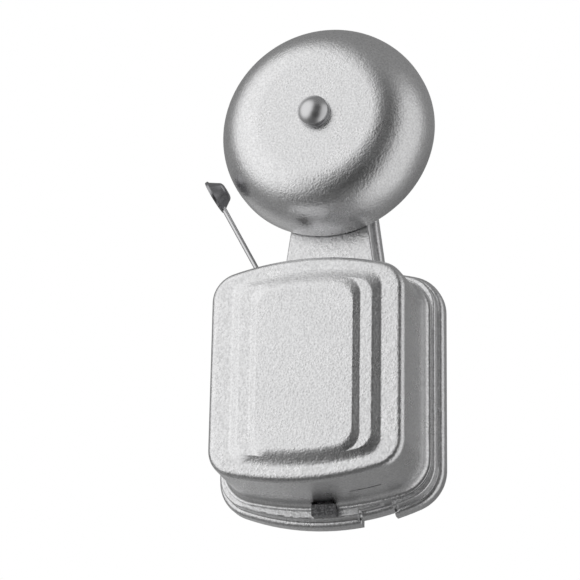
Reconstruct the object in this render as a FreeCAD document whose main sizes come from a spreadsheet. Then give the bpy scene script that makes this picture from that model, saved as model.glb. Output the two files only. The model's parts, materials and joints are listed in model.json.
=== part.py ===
import FreeCAD, Part
import math
import os
import re

import Sketcher

# Electric bell with a single gong, made to hang on a wall.  Millimetres.  +X is to the right, +Y runs into
# the wall, +Z is up.  The wall is the plane y = 0 and the bell stands in front of it, so a "depth" below is
# a distance in front of the wall, and its y is minus that.  The origin is midway between the wall screws.

# ---------------------------------------------------------------------------------------------------------
# Driving sizes
# ---------------------------------------------------------------------------------------------------------

SIZES = {
    # stamped base pan: a bowed rounded outline, a neck that carries the gong, and a wall in two tiers
    "pan_half_width": 30.7,
    "pan_top": 34.3,
    "pan_bottom": -37.45,
    "pan_top_bow": 5.6,
    "pan_bottom_bow": 7.4,
    "pan_corner": 9.7,
    "pan_depth": 7.4,
    "pan_sheet": 1.2,
    "pan_rear_tier": 3.6,
    "pan_ledge": 1.6,
    "pan_edge_round": 0.6,
    "neck_tip_radius": 7.5,
    "neck_half_angle": 8.0,
    "neck_foot": 22.0,
    "neck_root_round": 4.0,
    # wall screw dimples, one above and one below the origin
    "screw_spacing": 45.0,
    "screw_hole_radius": 2.25,
    "dimple_floor_radius": 4.4,
    "dimple_mouth_radius": 5.2,
    # knock-out panel in the bottom wall of the pan
    "knockout_left": 9.0,
    "knockout_width": 9.5,
    "knockout_inset": 1.8,
    # drawn steel cover
    "cover_half_width": 27.0,
    "cover_top": 30.9,
    "cover_bottom": -32.8,
    "cover_top_bow": 4.8,
    "cover_bottom_bow": 4.5,
    "cover_corner": 8.2,
    "cover_face_depth": 30.0,
    "cover_sheet": 0.8,
    "cover_front_round": 1.0,
    "cover_draft": 1.0,
    "cover_flare": 1.75,
    "cover_flare_depth": 3.2,
    "cover_flare_hollow": 0.5,
    "cover_mouth_hollow": 0.7,
    "cover_lip_height": 0.8,
    "cover_lip_gap": 0.2,
    # raised panel on the cover: two steps at each side that run together above and below
    "panel_step": 1.0,
    "panel_outer_half_width": 20.9,
    "panel_terrace_half_width": 18.4,
    "panel_riser_half_width": 15.3,
    "panel_half_width": 13.4,
    "panel_top": 27.9,
    "panel_bottom": -28.9,
    "panel_top_slope": 1.75,
    "panel_bottom_slope": 2.35,
    "panel_corner": 5.0,
    "panel_terrace_end": 0.3,
    # openings in the cover
    "rod_slot_left_margin": 2.9,
    "rod_slot_right_margin": 0.5,
    "rod_slot_depth": 16.0,
    "catch_notch_width": 6.9,
    "catch_notch_depth": 10.8,
    "lance_left": 9.3,
    "lance_length": 8.7,
    "lance_width": 0.5,
    "lance_depth": 17.5,
    # gong, on its post at the top of the neck
    "gong_height": 76.0,
    "gong_radius": 31.0,
    "gong_face_depth": 24.8,
    "gong_rim_gap": 0.6,
    "gong_sheet": 1.6,
    "gong_shoulder": 14.5,
    "post_radius": 3.8,
    "post_stud_radius": 2.4,
    "post_collar_radius": 5.6,
    "post_collar_height": 1.4,
    "post_rivet_radius": 4.6,
    "post_rivet_height": 1.0,
    "washer_thickness": 0.8,
    "washer_radius": 5.4,
    "nut_washer_margin": 0.3,
    "nut_radius": 4.4,
    "nut_side": 1.5,
    "nut_dome": 2.2,
    "stud_bite": 2.4,
    "fit_clearance": 0.05,
    # electromagnet
    "coil_axis_height": 10.0,
    "coil_axis_depth": 17.5,
    "pole_face": -8.9,
    "pole_reach": 0.9,
    "bobbin_length": 22.0,
    "bobbin_flange": 1.2,
    "bobbin_radius": 8.0,
    "bobbin_tube": 0.8,
    "winding_margin": 0.8,
    "core_radius": 2.5,
    "core_head_radius": 3.6,
    "core_head": 1.0,
    "frame_sheet": 1.6,
    "yoke_sheet": 2.4,
    "yoke_half_height": 16.0,
    "yoke_half_depth": 6.0,
    "yoke_corner": 3.0,
    "frame_arm_margin": 2.0,
    "frame_left": -15.0,
    "lug_top": -25.0,
    "lug_bottom": -30.5,
    "lug_depth": 22.0,
    "frame_rivet_left": -3.0,
    "frame_rivet_right": 10.0,
    "rivet_radius": 1.25,
    "rivet_head_radius": 2.2,
    "rivet_head": 0.8,
    # armature, its springs and the hammer
    "rest_gap": 1.1,
    "armature_sheet": 3.0,
    "armature_bottom": -18.0,
    "armature_top": 16.0,
    "armature_half_depth": 6.0,
    "armature_corner": 2.5,
    "leaf_sheet": 0.3,
    "leaf_half_depth": 4.0,
    "leaf_top": -3.0,
    "clamp_sheet": 1.0,
    "clamp_screw_offset": 2.1,
    "clamp_screw_radius": 0.9,
    "clamp_head_radius": 1.7,
    "clamp_head": 1.1,
    "contact_leaf_offset": 1.1,
    "contact_leaf_bottom": -12.0,
    "contact_leaf_top": 10.0,
    "contact_leaf_bend": -1.5,
    "contact_leaf_rise": 2.5,
    "contact_leaf_half_depth": 2.5,
    "leaf_rivet_low": -10.0,
    "leaf_rivet_high": -5.5,
    "leaf_rivet_radius": 0.9,
    "leaf_rivet_head_radius": 1.6,
    "leaf_rivet_head": 0.6,
    "rod_radius": 0.7,
    "rod_depth": 13.0,
    "rod_socket": 8.0,
    "rod_bend_height": 19.8,
    "rod_bend_radius": 4.0,
    "hammer_reach": 43.7,
    "hammer_standoff": 5.77,
    "rod_bite": 1.5,
    "hammer_disc_radius": 5.1,
    "hammer_disc": 0.9,
    "hammer_waist_radius": 4.7,
    "hammer_nose_radius": 2.4,
    "hammer_length": 4.3,
    "hammer_nose_round": 1.6,
    "hammer_rod_offset": 1.0,
    # make and break contact
    "contact_height": 6.0,
    "button_radius": 1.6,
    "button_height": 0.8,
    "contact_gap": 0.1,
    "contact_screw_radius": 1.5,
    "contact_screw_nose": 0.8,
    "contact_screw_free": 1.6,
    "contact_head_radius": 3.6,
    "contact_head": 2.2,
    "contact_head_gap": 0.6,
    "lock_nut_flats": 5.5,
    "lock_nut": 1.6,
    "pillar_width": 3.6,
    "pillar_half_height": 4.0,
    "pillar_crown": 5.0,
    "pillar_rivet_bite": 3.8,
    "insulator_sheet": 1.5,
    "insulator_margin": 2.0,
    "bush_radius": 2.1,
    "bush_flange_radius": 3.4,
    "bush_flange": 0.8,
    # terminals
    "terminal_left": 6.8,
    "terminal_gap": 3.8,
    "terminal_block_width": 16.0,
    "terminal_block_height": 6.4,
    "terminal_block_depth": 5.0,
    "terminal_plate_width": 5.0,
    "terminal_plate_sheet": 0.8,
    "terminal_plate_margin": 0.5,
    "terminal_pitch": 9.6,
    "terminal_screw_radius": 1.4,
    "terminal_head_radius": 2.3,
    "terminal_head": 1.5,
    "terminal_bite": 3.5,
    "terminal_block_round": 0.8,
    "screw_slot_width": 0.5,
    "screw_slot_depth": 0.7,
    # wire entry through the back of the pan
    "entry_across": 22.2,
    "entry_height": -8.0,
    "entry_radius": 4.0,
    "grommet_wall": 0.8,
    "grommet_flange": 0.9,
    "grommet_sheet": 1.0,
    # sliding catch in the notch of the cover
    "catch_width": 6.5,
    "catch_top": -34.0,
    "catch_bottom": -37.3,
    "catch_proud": 3.6,
    "catch_tail_width": 4.4,
    "catch_tail_sheet": 1.0,
    "catch_tail_top": -27.9,
    "catch_travel": 1.2,
    "catch_pin_height": -31.0,
    "catch_pin_radius": 0.75,
    "catch_pin_head_radius": 1.7,
    "catch_pin_head": 0.6,
    "slide_clearance": 0.15,
    # insulated lead wires
    "lead_radius": 0.4,
    "lead_bend": 2.5,
    "link_start_angle": 33.0,
    "link_run_half_height": 3.3,
    "lead_rise": 3.0,
    "lead_end_gap": 0.15,
}

# Sizes that follow from the driving ones, as formulas in the same sheet.
DERIVED = {
    "pan_front_tier": "pan_depth - pan_rear_tier",
    "pan_floor_rear": "pan_depth - pan_sheet",
    "screw_height": "screw_spacing / 2",
    "knockout_right": "knockout_left + knockout_width",
    "cover_rear": "pan_depth + cover_lip_gap",
    "cover_flare_front": "cover_rear + cover_lip_height + cover_flare_depth",
    "cover_lip_front": "cover_rear + cover_lip_height",
    "cover_lip_reach": "cover_draft + cover_flare",
    "cover_inner_face": "cover_face_depth - cover_sheet",
    "gong_rim_depth": "pan_depth + gong_rim_gap",
    "gong_flat_radius": "gong_radius - gong_shoulder",
    "gong_inner_face": "gong_face_depth - gong_sheet",
    "post_shoulder": "gong_inner_face - washer_thickness",
    "nut_seat": "gong_face_depth + washer_thickness",
    "gong_hole_radius": "post_stud_radius + fit_clearance",
    "bobbin_left": "pole_face + pole_reach",
    "bobbin_right": "bobbin_left + bobbin_length",
    "bobbin_bore": "core_radius + fit_clearance",
    "bobbin_tube_radius": "bobbin_bore + bobbin_tube",
    "winding_radius": "bobbin_radius - winding_margin",
    "yoke_left": "bobbin_right + fit_clearance",
    "yoke_right": "yoke_left + yoke_sheet",
    "frame_front": "pan_depth + frame_sheet",
    "yoke_front": "coil_axis_depth + yoke_half_depth",
    "armature_right": "pole_face - rest_gap",
    "armature_left": "armature_right - armature_sheet",
    "leaf_left": "armature_left - leaf_sheet",
    "contact_leaf_left": "leaf_left - leaf_sheet",
    "contact_tip_left": "contact_leaf_left - contact_leaf_offset",
    "button_left": "contact_tip_left - button_height",
    "armature_depth": "coil_axis_depth",
    "contact_depth": "coil_axis_depth",
    "rod_across": "armature_left + armature_sheet / 2",
    "gong_over_bend": "gong_height - rod_bend_height",
    "bend_to_gong": "sqrt(rod_across^2 + gong_over_bend^2)",
    "rod_to_gong": "gong_radius + hammer_standoff",
    "rod_turn": "(hammer_reach^2 + bend_to_gong^2 - rod_to_gong^2) / (2 * hammer_reach * bend_to_gong)",
    "rod_lean": "acos(rod_turn) + atan(rod_across / gong_over_bend)",
    "rod_tangent": "rod_bend_radius * tan(rod_lean / 2)",
    "rod_reach": "hammer_reach + rod_bite",
    "rod_slot_right": "rod_across + rod_slot_right_margin",
    "rod_slot_left": "rod_across - (cover_top - rod_bend_height) * tan(rod_lean) - rod_slot_left_margin",
    "hammer_across": "rod_across - hammer_reach * sin(rod_lean) - hammer_rod_offset * cos(rod_lean)",
    "hammer_height": "rod_bend_height + hammer_reach * cos(rod_lean) - hammer_rod_offset * sin(rod_lean)",
    "lug_height": "(lug_top + lug_bottom) / 2",
    "lug_right": "armature_left + frame_sheet",
    "frame_arm_right": "lug_right + frame_arm_margin",
    "clamp_left": "leaf_left - clamp_sheet",
    "contact_tip": "button_left - contact_gap",
    "pillar_right": "contact_tip - contact_screw_free",
    "pillar_left": "pillar_right - pillar_width",
    "pillar_seat": "pan_depth + insulator_sheet",
    "pillar_middle": "pillar_left + pillar_width / 2",
    "lock_nut_left": "pillar_left - lock_nut",
    "contact_head_right": "lock_nut_left - contact_head_gap",
    "contact_head_left": "contact_head_right - contact_head",
    "terminal_block_front": "pan_depth + terminal_block_depth",
    "terminal_top": "-(max(yoke_half_height; coil_axis_height + winding_radius) + terminal_gap)",
    "terminal_right": "terminal_left + terminal_block_width",
    "terminal_bottom": "terminal_top - terminal_block_height",
    "terminal_middle": "terminal_left + terminal_block_width / 2",
    "terminal_height": "terminal_top - terminal_block_height / 2",
    "terminal_plate_front": "terminal_block_front + terminal_plate_sheet",
    "terminal_left_screw": "terminal_middle - terminal_pitch / 2",
    "terminal_right_screw": "terminal_middle + terminal_pitch / 2",
    "rivet_hole": "rivet_radius + fit_clearance",
    "leaf_rivet_hole": "leaf_rivet_radius + fit_clearance",
    "clamp_screw_hole": "clamp_screw_radius + fit_clearance",
    "rod_hole": "rod_radius + fit_clearance",
    "contact_screw_hole": "contact_screw_radius + fit_clearance",
    "terminal_screw_hole": "terminal_screw_radius + fit_clearance",
    "catch_rear": "pan_depth + slide_clearance",
    "catch_front": "pan_depth + catch_proud",
    "catch_slot_half_width": "catch_pin_radius + slide_clearance",
    "catch_tail_front": "catch_rear + catch_tail_sheet",
    "catch_pin_seat": "catch_tail_front + slide_clearance",
}

ALIASES = set(SIZES) | set(DERIVED)

doc = FreeCAD.newDocument("ElectricBell")
sheet = doc.addObject("Spreadsheet::Sheet", "Sizes")
for row, (alias, content) in enumerate(list(SIZES.items()) + list(DERIVED.items()), start=1):
    sheet.set(f"A{row}", alias)
    sheet.set(f"B{row}", str(content) if alias in SIZES else "=" + content)
    sheet.setAlias(f"B{row}", alias)
doc.recompute()

# ---------------------------------------------------------------------------------------------------------
# Helpers
# ---------------------------------------------------------------------------------------------------------

FRONT = "XZ_Plane"  # sketch x is +X, sketch y is +Z, and the sketch faces away from the wall
LEVEL = "XY_Plane"  # sketch x is +X, sketch y is +Y
SIDE = "YZ_Plane"  # sketch x is +Y, sketch y is +Z, and the sketch faces +X


def bound(formula):
    """A formula on size names, written for an object outside the sheet."""

    def qualified(word):
        return f"Sizes.{word[0]}" if word[0] in ALIASES else word[0]

    return re.sub(r"[a-z_][a-z_0-9]*", qualified, formula)


def value(formula):
    """The number that a formula on size names gives now."""
    return float(sheet.evalExpression(formula))


def new_body(label):
    body = doc.addObject("PartDesign::Body", label)
    body.Label = label
    return body


def sketch_on(body, plane, offset="0"):
    """A sketch parallel to one of the body's own origin planes, offset along that plane's normal."""
    sketch = body.newObject("Sketcher::SketchObject", f"{body.Name}_sketch")
    support = next(feature for feature in body.Origin.OriginFeatures if feature.Role == plane)
    sketch.AttachmentSupport = [(support, "")]
    sketch.MapMode = "FlatFace"
    sketch.setExpression("AttachmentOffset.Base.z", bound(offset))
    return sketch


def constrain(sketch, formula, kind, *where):
    """Add a dimension and bind it to its formula."""
    number = sketch.addConstraint(Sketcher.Constraint(kind, *where, value(formula)))
    sketch.setExpression(f"Constraints[{number}]", bound(formula))


def place_point(sketch, geometry, position, across, up):
    constrain(sketch, across, "DistanceX", -1, 1, geometry, position)
    constrain(sketch, up, "DistanceY", -1, 1, geometry, position)


def arc_between(start, end, radius, turn):
    """The short arc from start to end: turn is 1 anticlockwise and -1 clockwise."""
    chord = end - start
    middle = (start + end) * 0.5
    left = FreeCAD.Vector(-chord.y, chord.x, 0).normalize()
    centre = middle + left * turn * math.sqrt(radius**2 - (chord.Length / 2) ** 2)
    first, last = (start, end) if turn > 0 else (end, start)
    angles = [math.atan2(point.y - centre.y, point.x - centre.x) for point in (first, last)]
    return Part.ArcOfCircle(Part.Circle(centre, FreeCAD.Vector(0, 0, 1), radius), *angles)


def profile(sketch, points, arcs=None, closed=True):
    """An outline through points given as formulas.  arcs maps a point's number to the radius and turn of
    the arc that leaves it; every other run is straight."""
    arcs = arcs or {}
    spots = [FreeCAD.Vector(value(across), value(up), 0) for across, up in points]
    runs = len(spots) if closed else len(spots) - 1
    starts, ends = [], []
    for number in range(runs):
        start, end = spots[number], spots[(number + 1) % len(spots)]
        radius, turn = arcs.get(number, (None, 1))
        if radius is None:
            geometry = sketch.addGeometry(Part.LineSegment(start, end))
        else:
            geometry = sketch.addGeometry(arc_between(start, end, value(radius), turn))
            constrain(sketch, radius, "Radius", geometry)
        starts.append((geometry, 1 if turn > 0 else 2))
        ends.append((geometry, 2 if turn > 0 else 1))
    for number in range(runs):
        if closed or number:
            sketch.addConstraint(Sketcher.Constraint("Coincident", *ends[number - 1], *starts[number]))
        place_point(sketch, *starts[number], *points[number])
    if not closed:
        place_point(sketch, *ends[-1], *points[-1])
    return sketch


def rectangle(sketch, left, bottom, right, top):
    return profile(sketch, [(left, bottom), (right, bottom), (right, top), (left, top)])


def circle(sketch, across, up, radius):
    spot = FreeCAD.Vector(value(across), value(up), 0)
    geometry = sketch.addGeometry(Part.Circle(spot, FreeCAD.Vector(0, 0, 1), value(radius)))
    place_point(sketch, geometry, 3, across, up)
    constrain(sketch, radius, "Radius", geometry)
    return sketch


def bow_radius(half_width, bow):
    return f"(({half_width})^2 + ({bow})^2) / (2 * ({bow}))"


def bowed_outline(sketch, half_width, top, bottom, top_bow, bottom_bow, corner, grow="0"):
    """Upright sides, top and bottom bowed outward, round tangent corners, and the whole grown outward."""
    wide = value(f"{half_width} + {grow}")
    turn = value(f"{corner} + {grow}")
    bows = {}
    for name, edge, bow, sign in (("bottom", bottom, bottom_bow, 1), ("top", top, top_bow, -1)):
        nominal = bow_radius(half_width, bow)
        centre = f"{edge} + {sign} * {nominal}"
        radius = f"{nominal} + {grow}"
        middle = FreeCAD.Vector(0, value(centre), 0)
        reach = value(radius)
        corner_up = middle.y - sign * math.sqrt((reach - turn) ** 2 - (wide - turn) ** 2)
        corners = [FreeCAD.Vector(side * (wide - turn), corner_up, 0) for side in (-1, 1)]
        touches = [middle + (spot - middle) * (reach / (reach - turn)) for spot in corners]
        bows[name] = (centre, radius, middle, reach, corners, touches)

    def arc(centre, radius, first, last):
        angles = [math.atan2(point.y - centre.y, point.x - centre.x) for point in (first, last)]
        return Part.ArcOfCircle(Part.Circle(centre, FreeCAD.Vector(0, 0, 1), radius), *angles)

    lower, upper = bows["bottom"], bows["top"]
    foot = [FreeCAD.Vector(side * wide, lower[4][0].y, 0) for side in (-1, 1)]
    head = [FreeCAD.Vector(side * wide, upper[4][0].y, 0) for side in (-1, 1)]
    loop = [
        arc(lower[2], lower[3], lower[5][0], lower[5][1]),
        arc(lower[4][1], turn, lower[5][1], foot[1]),
        Part.LineSegment(foot[1], head[1]),
        arc(upper[4][1], turn, head[1], upper[5][1]),
        arc(upper[2], upper[3], upper[5][1], upper[5][0]),
        arc(upper[4][0], turn, upper[5][0], head[0]),
        Part.LineSegment(head[0], foot[0]),
        arc(lower[4][0], turn, foot[0], lower[5][0]),
    ]
    ids = [sketch.addGeometry(edge) for edge in loop]
    for number, geometry in enumerate(ids):
        sketch.addConstraint(Sketcher.Constraint("Tangent", ids[number - 1], 2, geometry, 1))
    for geometry, (centre, radius) in ((ids[0], lower[:2]), (ids[4], upper[:2])):
        place_point(sketch, geometry, 3, "0", centre)
        constrain(sketch, radius, "Radius", geometry)
    for geometry, sign in ((ids[2], ""), (ids[6], "-")):
        sketch.addConstraint(Sketcher.Constraint("Vertical", geometry))
        constrain(sketch, f"{sign}({half_width} + {grow})", "DistanceX", -1, 1, geometry, 1)
    for number in (1, 3, 5, 7):
        constrain(sketch, f"{corner} + {grow}", "Radius", ids[number])
    return sketch


def feature(body, kind, sketch, **settings):
    made = body.newObject(f"PartDesign::{kind}", f"{body.Name}_{kind}")
    made.Profile = sketch
    for name, setting in settings.items():
        setattr(made, name, setting)
    sketch.Visibility = False
    return made


def pad(body, sketch, length, **settings):
    made = feature(body, "Pad", sketch, **settings)
    made.setExpression("Length", bound(length))
    return made


def pocket(body, sketch, length, **settings):
    """Cut against the sketch's facing direction, or along it with Reversed=True."""
    made = feature(body, "Pocket", sketch, **settings)
    made.setExpression("Length", bound(length))
    return made


def turned(label, points, arcs=None, plane=LEVEL, axis="V_Axis"):
    """A body turned from half a section, drawn on the LEVEL plane to turn about Y."""
    body = new_body(label)
    sketch = profile(sketch_on(body, plane), points, arcs)
    feature(body, "Revolution", sketch, ReferenceAxis=(sketch, [axis]), Angle=360)
    return body


def turned_about_x(label, points, arcs=None):
    return turned(label, points, arcs, plane=FRONT, axis="H_Axis")


def drill(body, plane, offset, across, up, radius, length):
    """A round hole cut back from a plane."""
    pocket(body, circle(sketch_on(body, plane, offset), across, up, radius), length)


def move(thing, across="0", depth="0", up="0"):
    """Bind an object's place: depth is counted from the wall toward the front."""
    thing.setExpression("Placement.Base.x", bound(across))
    thing.setExpression("Placement.Base.y", bound(f"-({depth})"))
    thing.setExpression("Placement.Base.z", bound(up))
    return thing


def group(label, members):
    """Several separate solids that share one node."""
    made = doc.addObject("Part::Compound", label)
    made.Label = label
    made.Links = members
    return made


def plate(label, outline, rear, front, arcs=None, plane=FRONT):
    """A flat piece cut to an outline; on the FRONT plane rear and front are depths."""
    body = new_body(label)
    pad(body, profile(sketch_on(body, plane, rear), outline, arcs), f"({front}) - ({rear})")
    return body


def edges_where(body, test):
    """Names of the tip's edges that pass a test on the edge."""
    doc.recompute()
    shape = body.Tip.Shape
    return [f"Edge{number}" for number, edge in enumerate(shape.Edges, start=1) if test(edge)]


def round_edges(body, radius, test):
    names = edges_where(body, test)
    base = body.Tip
    made = body.newObject("PartDesign::Fillet", f"{body.Name}_round")
    made.Base = (base, names)
    made.setExpression("Radius", bound(radius))
    return made


def lies_at_depth(edge, depth):
    return all(abs(-vertex.Point.y - depth) < 1e-4 for vertex in edge.Vertexes)


# ---------------------------------------------------------------------------------------------------------
# Base pan
# ---------------------------------------------------------------------------------------------------------

PAN = {
    "half_width": "pan_half_width",
    "top": "pan_top",
    "bottom": "pan_bottom",
    "top_bow": "pan_top_bow",
    "bottom_bow": "pan_bottom_bow",
    "corner": "pan_corner",
}


def neck_foot_reach(grow):
    """Half the width of the neck at its foot, grown outward."""
    lean = "(gong_height - neck_foot) * sin(neck_half_angle)"
    return f"(neck_tip_radius + {grow} + {lean}) / cos(neck_half_angle)"


def neck_outline(sketch, grow):
    """Straight sides that lean in to a round tip about the gong post."""
    tip = f"(neck_tip_radius + {grow})"
    foot = neck_foot_reach(grow)
    touch_across = f"{tip} * cos(neck_half_angle)"
    touch_up = f"gong_height + {tip} * sin(neck_half_angle)"
    points = [
        (f"-({foot})", "neck_foot"),
        (foot, "neck_foot"),
        (touch_across, touch_up),
        (f"-{touch_across}", touch_up),
    ]
    return profile(sketch, points, {2: (tip, 1)})


def pan_bow(across, grow):
    """Height of the bowed bottom edge of the pan, grown outward, at a place across."""
    nominal = bow_radius(PAN["half_width"], PAN["bottom_bow"])
    return f"pan_bottom + {nominal} - sqrt(({nominal} + {grow})^2 - ({across})^2)"


def bow_band(sketch, left, right, inner_grow, outer_grow):
    """A strip that follows the bottom edge of the pan between two growths of its outline."""
    nominal = bow_radius(PAN["half_width"], PAN["bottom_bow"])
    points = [
        (left, pan_bow(left, outer_grow)),
        (right, pan_bow(right, outer_grow)),
        (right, pan_bow(right, inner_grow)),
        (left, pan_bow(left, inner_grow)),
    ]
    arcs = {0: (f"{nominal} + {outer_grow}", 1), 2: (f"{nominal} + {inner_grow}", -1)}
    return profile(sketch, points, arcs)


def make_dimple(body, sign):
    """A cup pressed back to the wall, so that a wall screw's head sits below the floor of the pan."""
    height = f"{sign}screw_height"
    floor_disc = [("0", "-pan_floor_rear"), ("dimple_mouth_radius", "-pan_floor_rear")]
    floor_disc += [("dimple_mouth_radius", "-pan_depth"), ("0", "-pan_depth")]
    opened = profile(sketch_on(body, LEVEL, height), floor_disc)
    feature(body, "Groove", opened, ReferenceAxis=(opened, ["V_Axis"]), Angle=360)
    cup = [
        ("screw_hole_radius", "0"),
        ("dimple_floor_radius + pan_sheet", "0"),
        ("dimple_mouth_radius + pan_sheet", "-pan_floor_rear"),
        ("dimple_mouth_radius", "-pan_depth"),
        ("dimple_floor_radius", "-pan_sheet"),
        ("screw_hole_radius", "-pan_sheet"),
    ]
    wall = profile(sketch_on(body, LEVEL, height), cup)
    feature(body, "Revolution", wall, ReferenceAxis=(wall, ["V_Axis"]), Angle=360)


def make_knockout(body):
    """A panel in the bottom wall, set back by knockout_inset, that is broken out for surface wiring."""
    wide_left, wide_right = "knockout_left - pan_sheet", "knockout_right + pan_sheet"
    inner, seam = "(-knockout_inset - pan_sheet)", "(-pan_sheet / 2)"
    rear_seam = "(pan_ledge - pan_sheet / 2)"
    backing = bow_band(sketch_on(body, FRONT), wide_left, wide_right, inner, seam)
    pad(body, backing, "pan_floor_rear")
    rear_backing = bow_band(sketch_on(body, FRONT), wide_left, wide_right, inner, rear_seam)
    pad(body, rear_backing, "pan_rear_tier - pan_sheet / 2")
    for front, length, inset, reach in (
        ("pan_depth", "pan_front_tier", "(-knockout_inset)", "pan_ledge"),
        ("pan_rear_tier", "pan_rear_tier", "(pan_ledge - knockout_inset)", "(pan_ledge * 2)"),
    ):
        recess = bow_band(sketch_on(body, FRONT, front), "knockout_left", "knockout_right", inset, reach)
        pocket(body, recess, length)


def make_pan():
    body = new_body("back_pan")
    tiers = (("0", "pan_rear_tier", "pan_ledge"), ("pan_rear_tier", "pan_front_tier", "0"))
    for rear, length, grow in tiers:
        pad(body, bowed_outline(sketch_on(body, FRONT, rear), **PAN, grow=grow), length)
        pad(body, neck_outline(sketch_on(body, FRONT, rear), grow), length)

    tip = value("neck_tip_radius")
    foot = value(neck_foot_reach("pan_ledge"))

    def is_neck_root(edge):
        first, last = edge.Vertexes[0].Point, edge.Vertexes[-1].Point
        runs_back = abs(first.x - last.x) < 1e-4 and abs(first.z - last.z) < 1e-4
        beside_neck = tip < abs(first.x) < foot
        return runs_back and beside_neck and abs(first.z - value("pan_top")) < value("pan_top_bow")

    round_edges(body, "neck_root_round", is_neck_root)
    round_edges(body, "pan_edge_round", lambda edge: lies_at_depth(edge, value("pan_depth")))
    hollows = (
        ("pan_floor_rear", "(-pan_sheet)"),
        ("pan_rear_tier - pan_sheet", "(pan_ledge - pan_sheet)"),
    )
    for front, grow in hollows:
        pocket(body, bowed_outline(sketch_on(body, FRONT, front), **PAN, grow=grow), front)
        pocket(body, neck_outline(sketch_on(body, FRONT, front), grow), front)
    make_knockout(body)
    for sign in ("-", ""):
        make_dimple(body, sign)
    holes = (
        ("0", "gong_height", "post_stud_radius"),
        ("frame_rivet_left", "0", "rivet_radius"),
        ("frame_rivet_right", "0", "rivet_radius"),
        ("pillar_middle", "contact_height", "bush_radius"),
        ("terminal_middle", "terminal_height", "rivet_radius"),
        ("entry_across", "entry_height", "entry_radius"),
        ("0", "catch_pin_height", "catch_pin_radius"),
    )
    for across, up, radius in holes:
        drill(body, FRONT, "pan_depth", across, up, f"{radius} + fit_clearance", "pan_sheet")
    return body


# ---------------------------------------------------------------------------------------------------------
# Cover
# ---------------------------------------------------------------------------------------------------------

COVER = {
    "half_width": "cover_half_width",
    "top": "cover_top",
    "bottom": "cover_bottom",
    "top_bow": "cover_top_bow",
    "bottom_bow": "cover_bottom_bow",
    "corner": "cover_corner",
}

# how far down the flare each section lies, as a share of its depth
FLARE_SECTIONS = (0.55, 0.85, 1.0)


def loft(body, kind, sections):
    """A ruled loft through outlines, each given with its depth and growth."""
    sketches = []
    for depth, outline, grow in sections:
        sketches.append(bowed_outline(sketch_on(body, FRONT, depth), **outline, grow=grow))
    made = feature(body, kind, sketches[0], Ruled=True)
    made.Sections = sketches[1:]
    return made


def panel_outline(half_width, slopes, terraces):
    """The raised panel's outline so many slopes and terraces in from its foot, bowed like the cover."""
    share = f"({half_width} / cover_half_width)^2"
    return {
        "half_width": half_width,
        "top": f"panel_top - {slopes} * panel_top_slope - {terraces} * panel_terrace_end",
        "bottom": f"panel_bottom + {slopes} * panel_bottom_slope + {terraces} * panel_terrace_end",
        "top_bow": f"cover_top_bow * {share}",
        "bottom_bow": f"cover_bottom_bow * {share}",
        "corner": "panel_corner",
    }


def emboss(body, kind, face, shrink):
    """Both steps of the raised panel, standing forward from a face."""
    steps = (
        (0, "panel_outer_half_width", "panel_terrace_half_width"),
        (1, "panel_riser_half_width", "panel_half_width"),
    )
    for number, foot, crest in steps:
        low = (f"{face} + {number} * panel_step", panel_outline(foot, number, number), shrink)
        high = (f"{face} + {number + 1} * panel_step", panel_outline(crest, number + 1, number), shrink)
        loft(body, kind, [low, high])


def make_cover():
    body = new_body("cover")
    skirt_foot = ("cover_flare_front", COVER, "cover_draft")
    loft(body, "AdditiveLoft", [("cover_face_depth", COVER, "0"), skirt_foot])
    flare = [skirt_foot]
    for share in FLARE_SECTIONS:
        depth = f"cover_flare_front - {share} * cover_flare_depth"
        flare.append((depth, COVER, f"(cover_draft + cover_flare * (1 - sqrt(1 - {share}^2)))"))
    loft(body, "AdditiveLoft", flare)
    lip = bowed_outline(sketch_on(body, FRONT, "cover_rear"), **COVER, grow="cover_lip_reach")
    pad(body, lip, "cover_lip_height")
    round_edges(body, "cover_front_round", lambda edge: lies_at_depth(edge, value("cover_face_depth")))
    emboss(body, "AdditiveLoft", "cover_face_depth", "0")
    hollow = [
        ("cover_inner_face", COVER, "(-cover_sheet)"),
        ("cover_flare_front", COVER, "(cover_draft - cover_sheet)"),
        ("cover_lip_front", COVER, "(cover_draft + cover_flare * cover_flare_hollow - cover_sheet)"),
        ("cover_rear", COVER, "(cover_draft + cover_flare * cover_mouth_hollow - cover_sheet)"),
    ]
    loft(body, "SubtractiveLoft", hollow)
    emboss(body, "SubtractiveLoft", "cover_inner_face", "(-cover_sheet)")
    slot = sketch_on(body, FRONT, "rod_slot_depth")
    rectangle(slot, "rod_slot_left", "cover_top - 2 * cover_top_bow", "rod_slot_right", "pan_top")
    pocket(body, slot, "rod_slot_depth")
    notch = sketch_on(body, FRONT, "catch_notch_depth")
    notch_head = "cover_bottom + 2 * cover_sheet"
    rectangle(notch, "-catch_notch_width / 2", "pan_bottom", "catch_notch_width / 2", notch_head)
    pocket(body, notch, "catch_notch_depth")
    lance = sketch_on(body, LEVEL, "cover_bottom + 2 * cover_bottom_bow")
    lance_right = "lance_left + lance_length"
    rectangle(lance, "lance_left", "-lance_depth", lance_right, "-lance_depth + lance_width")
    pocket(body, lance, "cover_bottom - pan_bottom + 2 * cover_bottom_bow")
    return body


# ---------------------------------------------------------------------------------------------------------
# Gong and its post
# ---------------------------------------------------------------------------------------------------------


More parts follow.
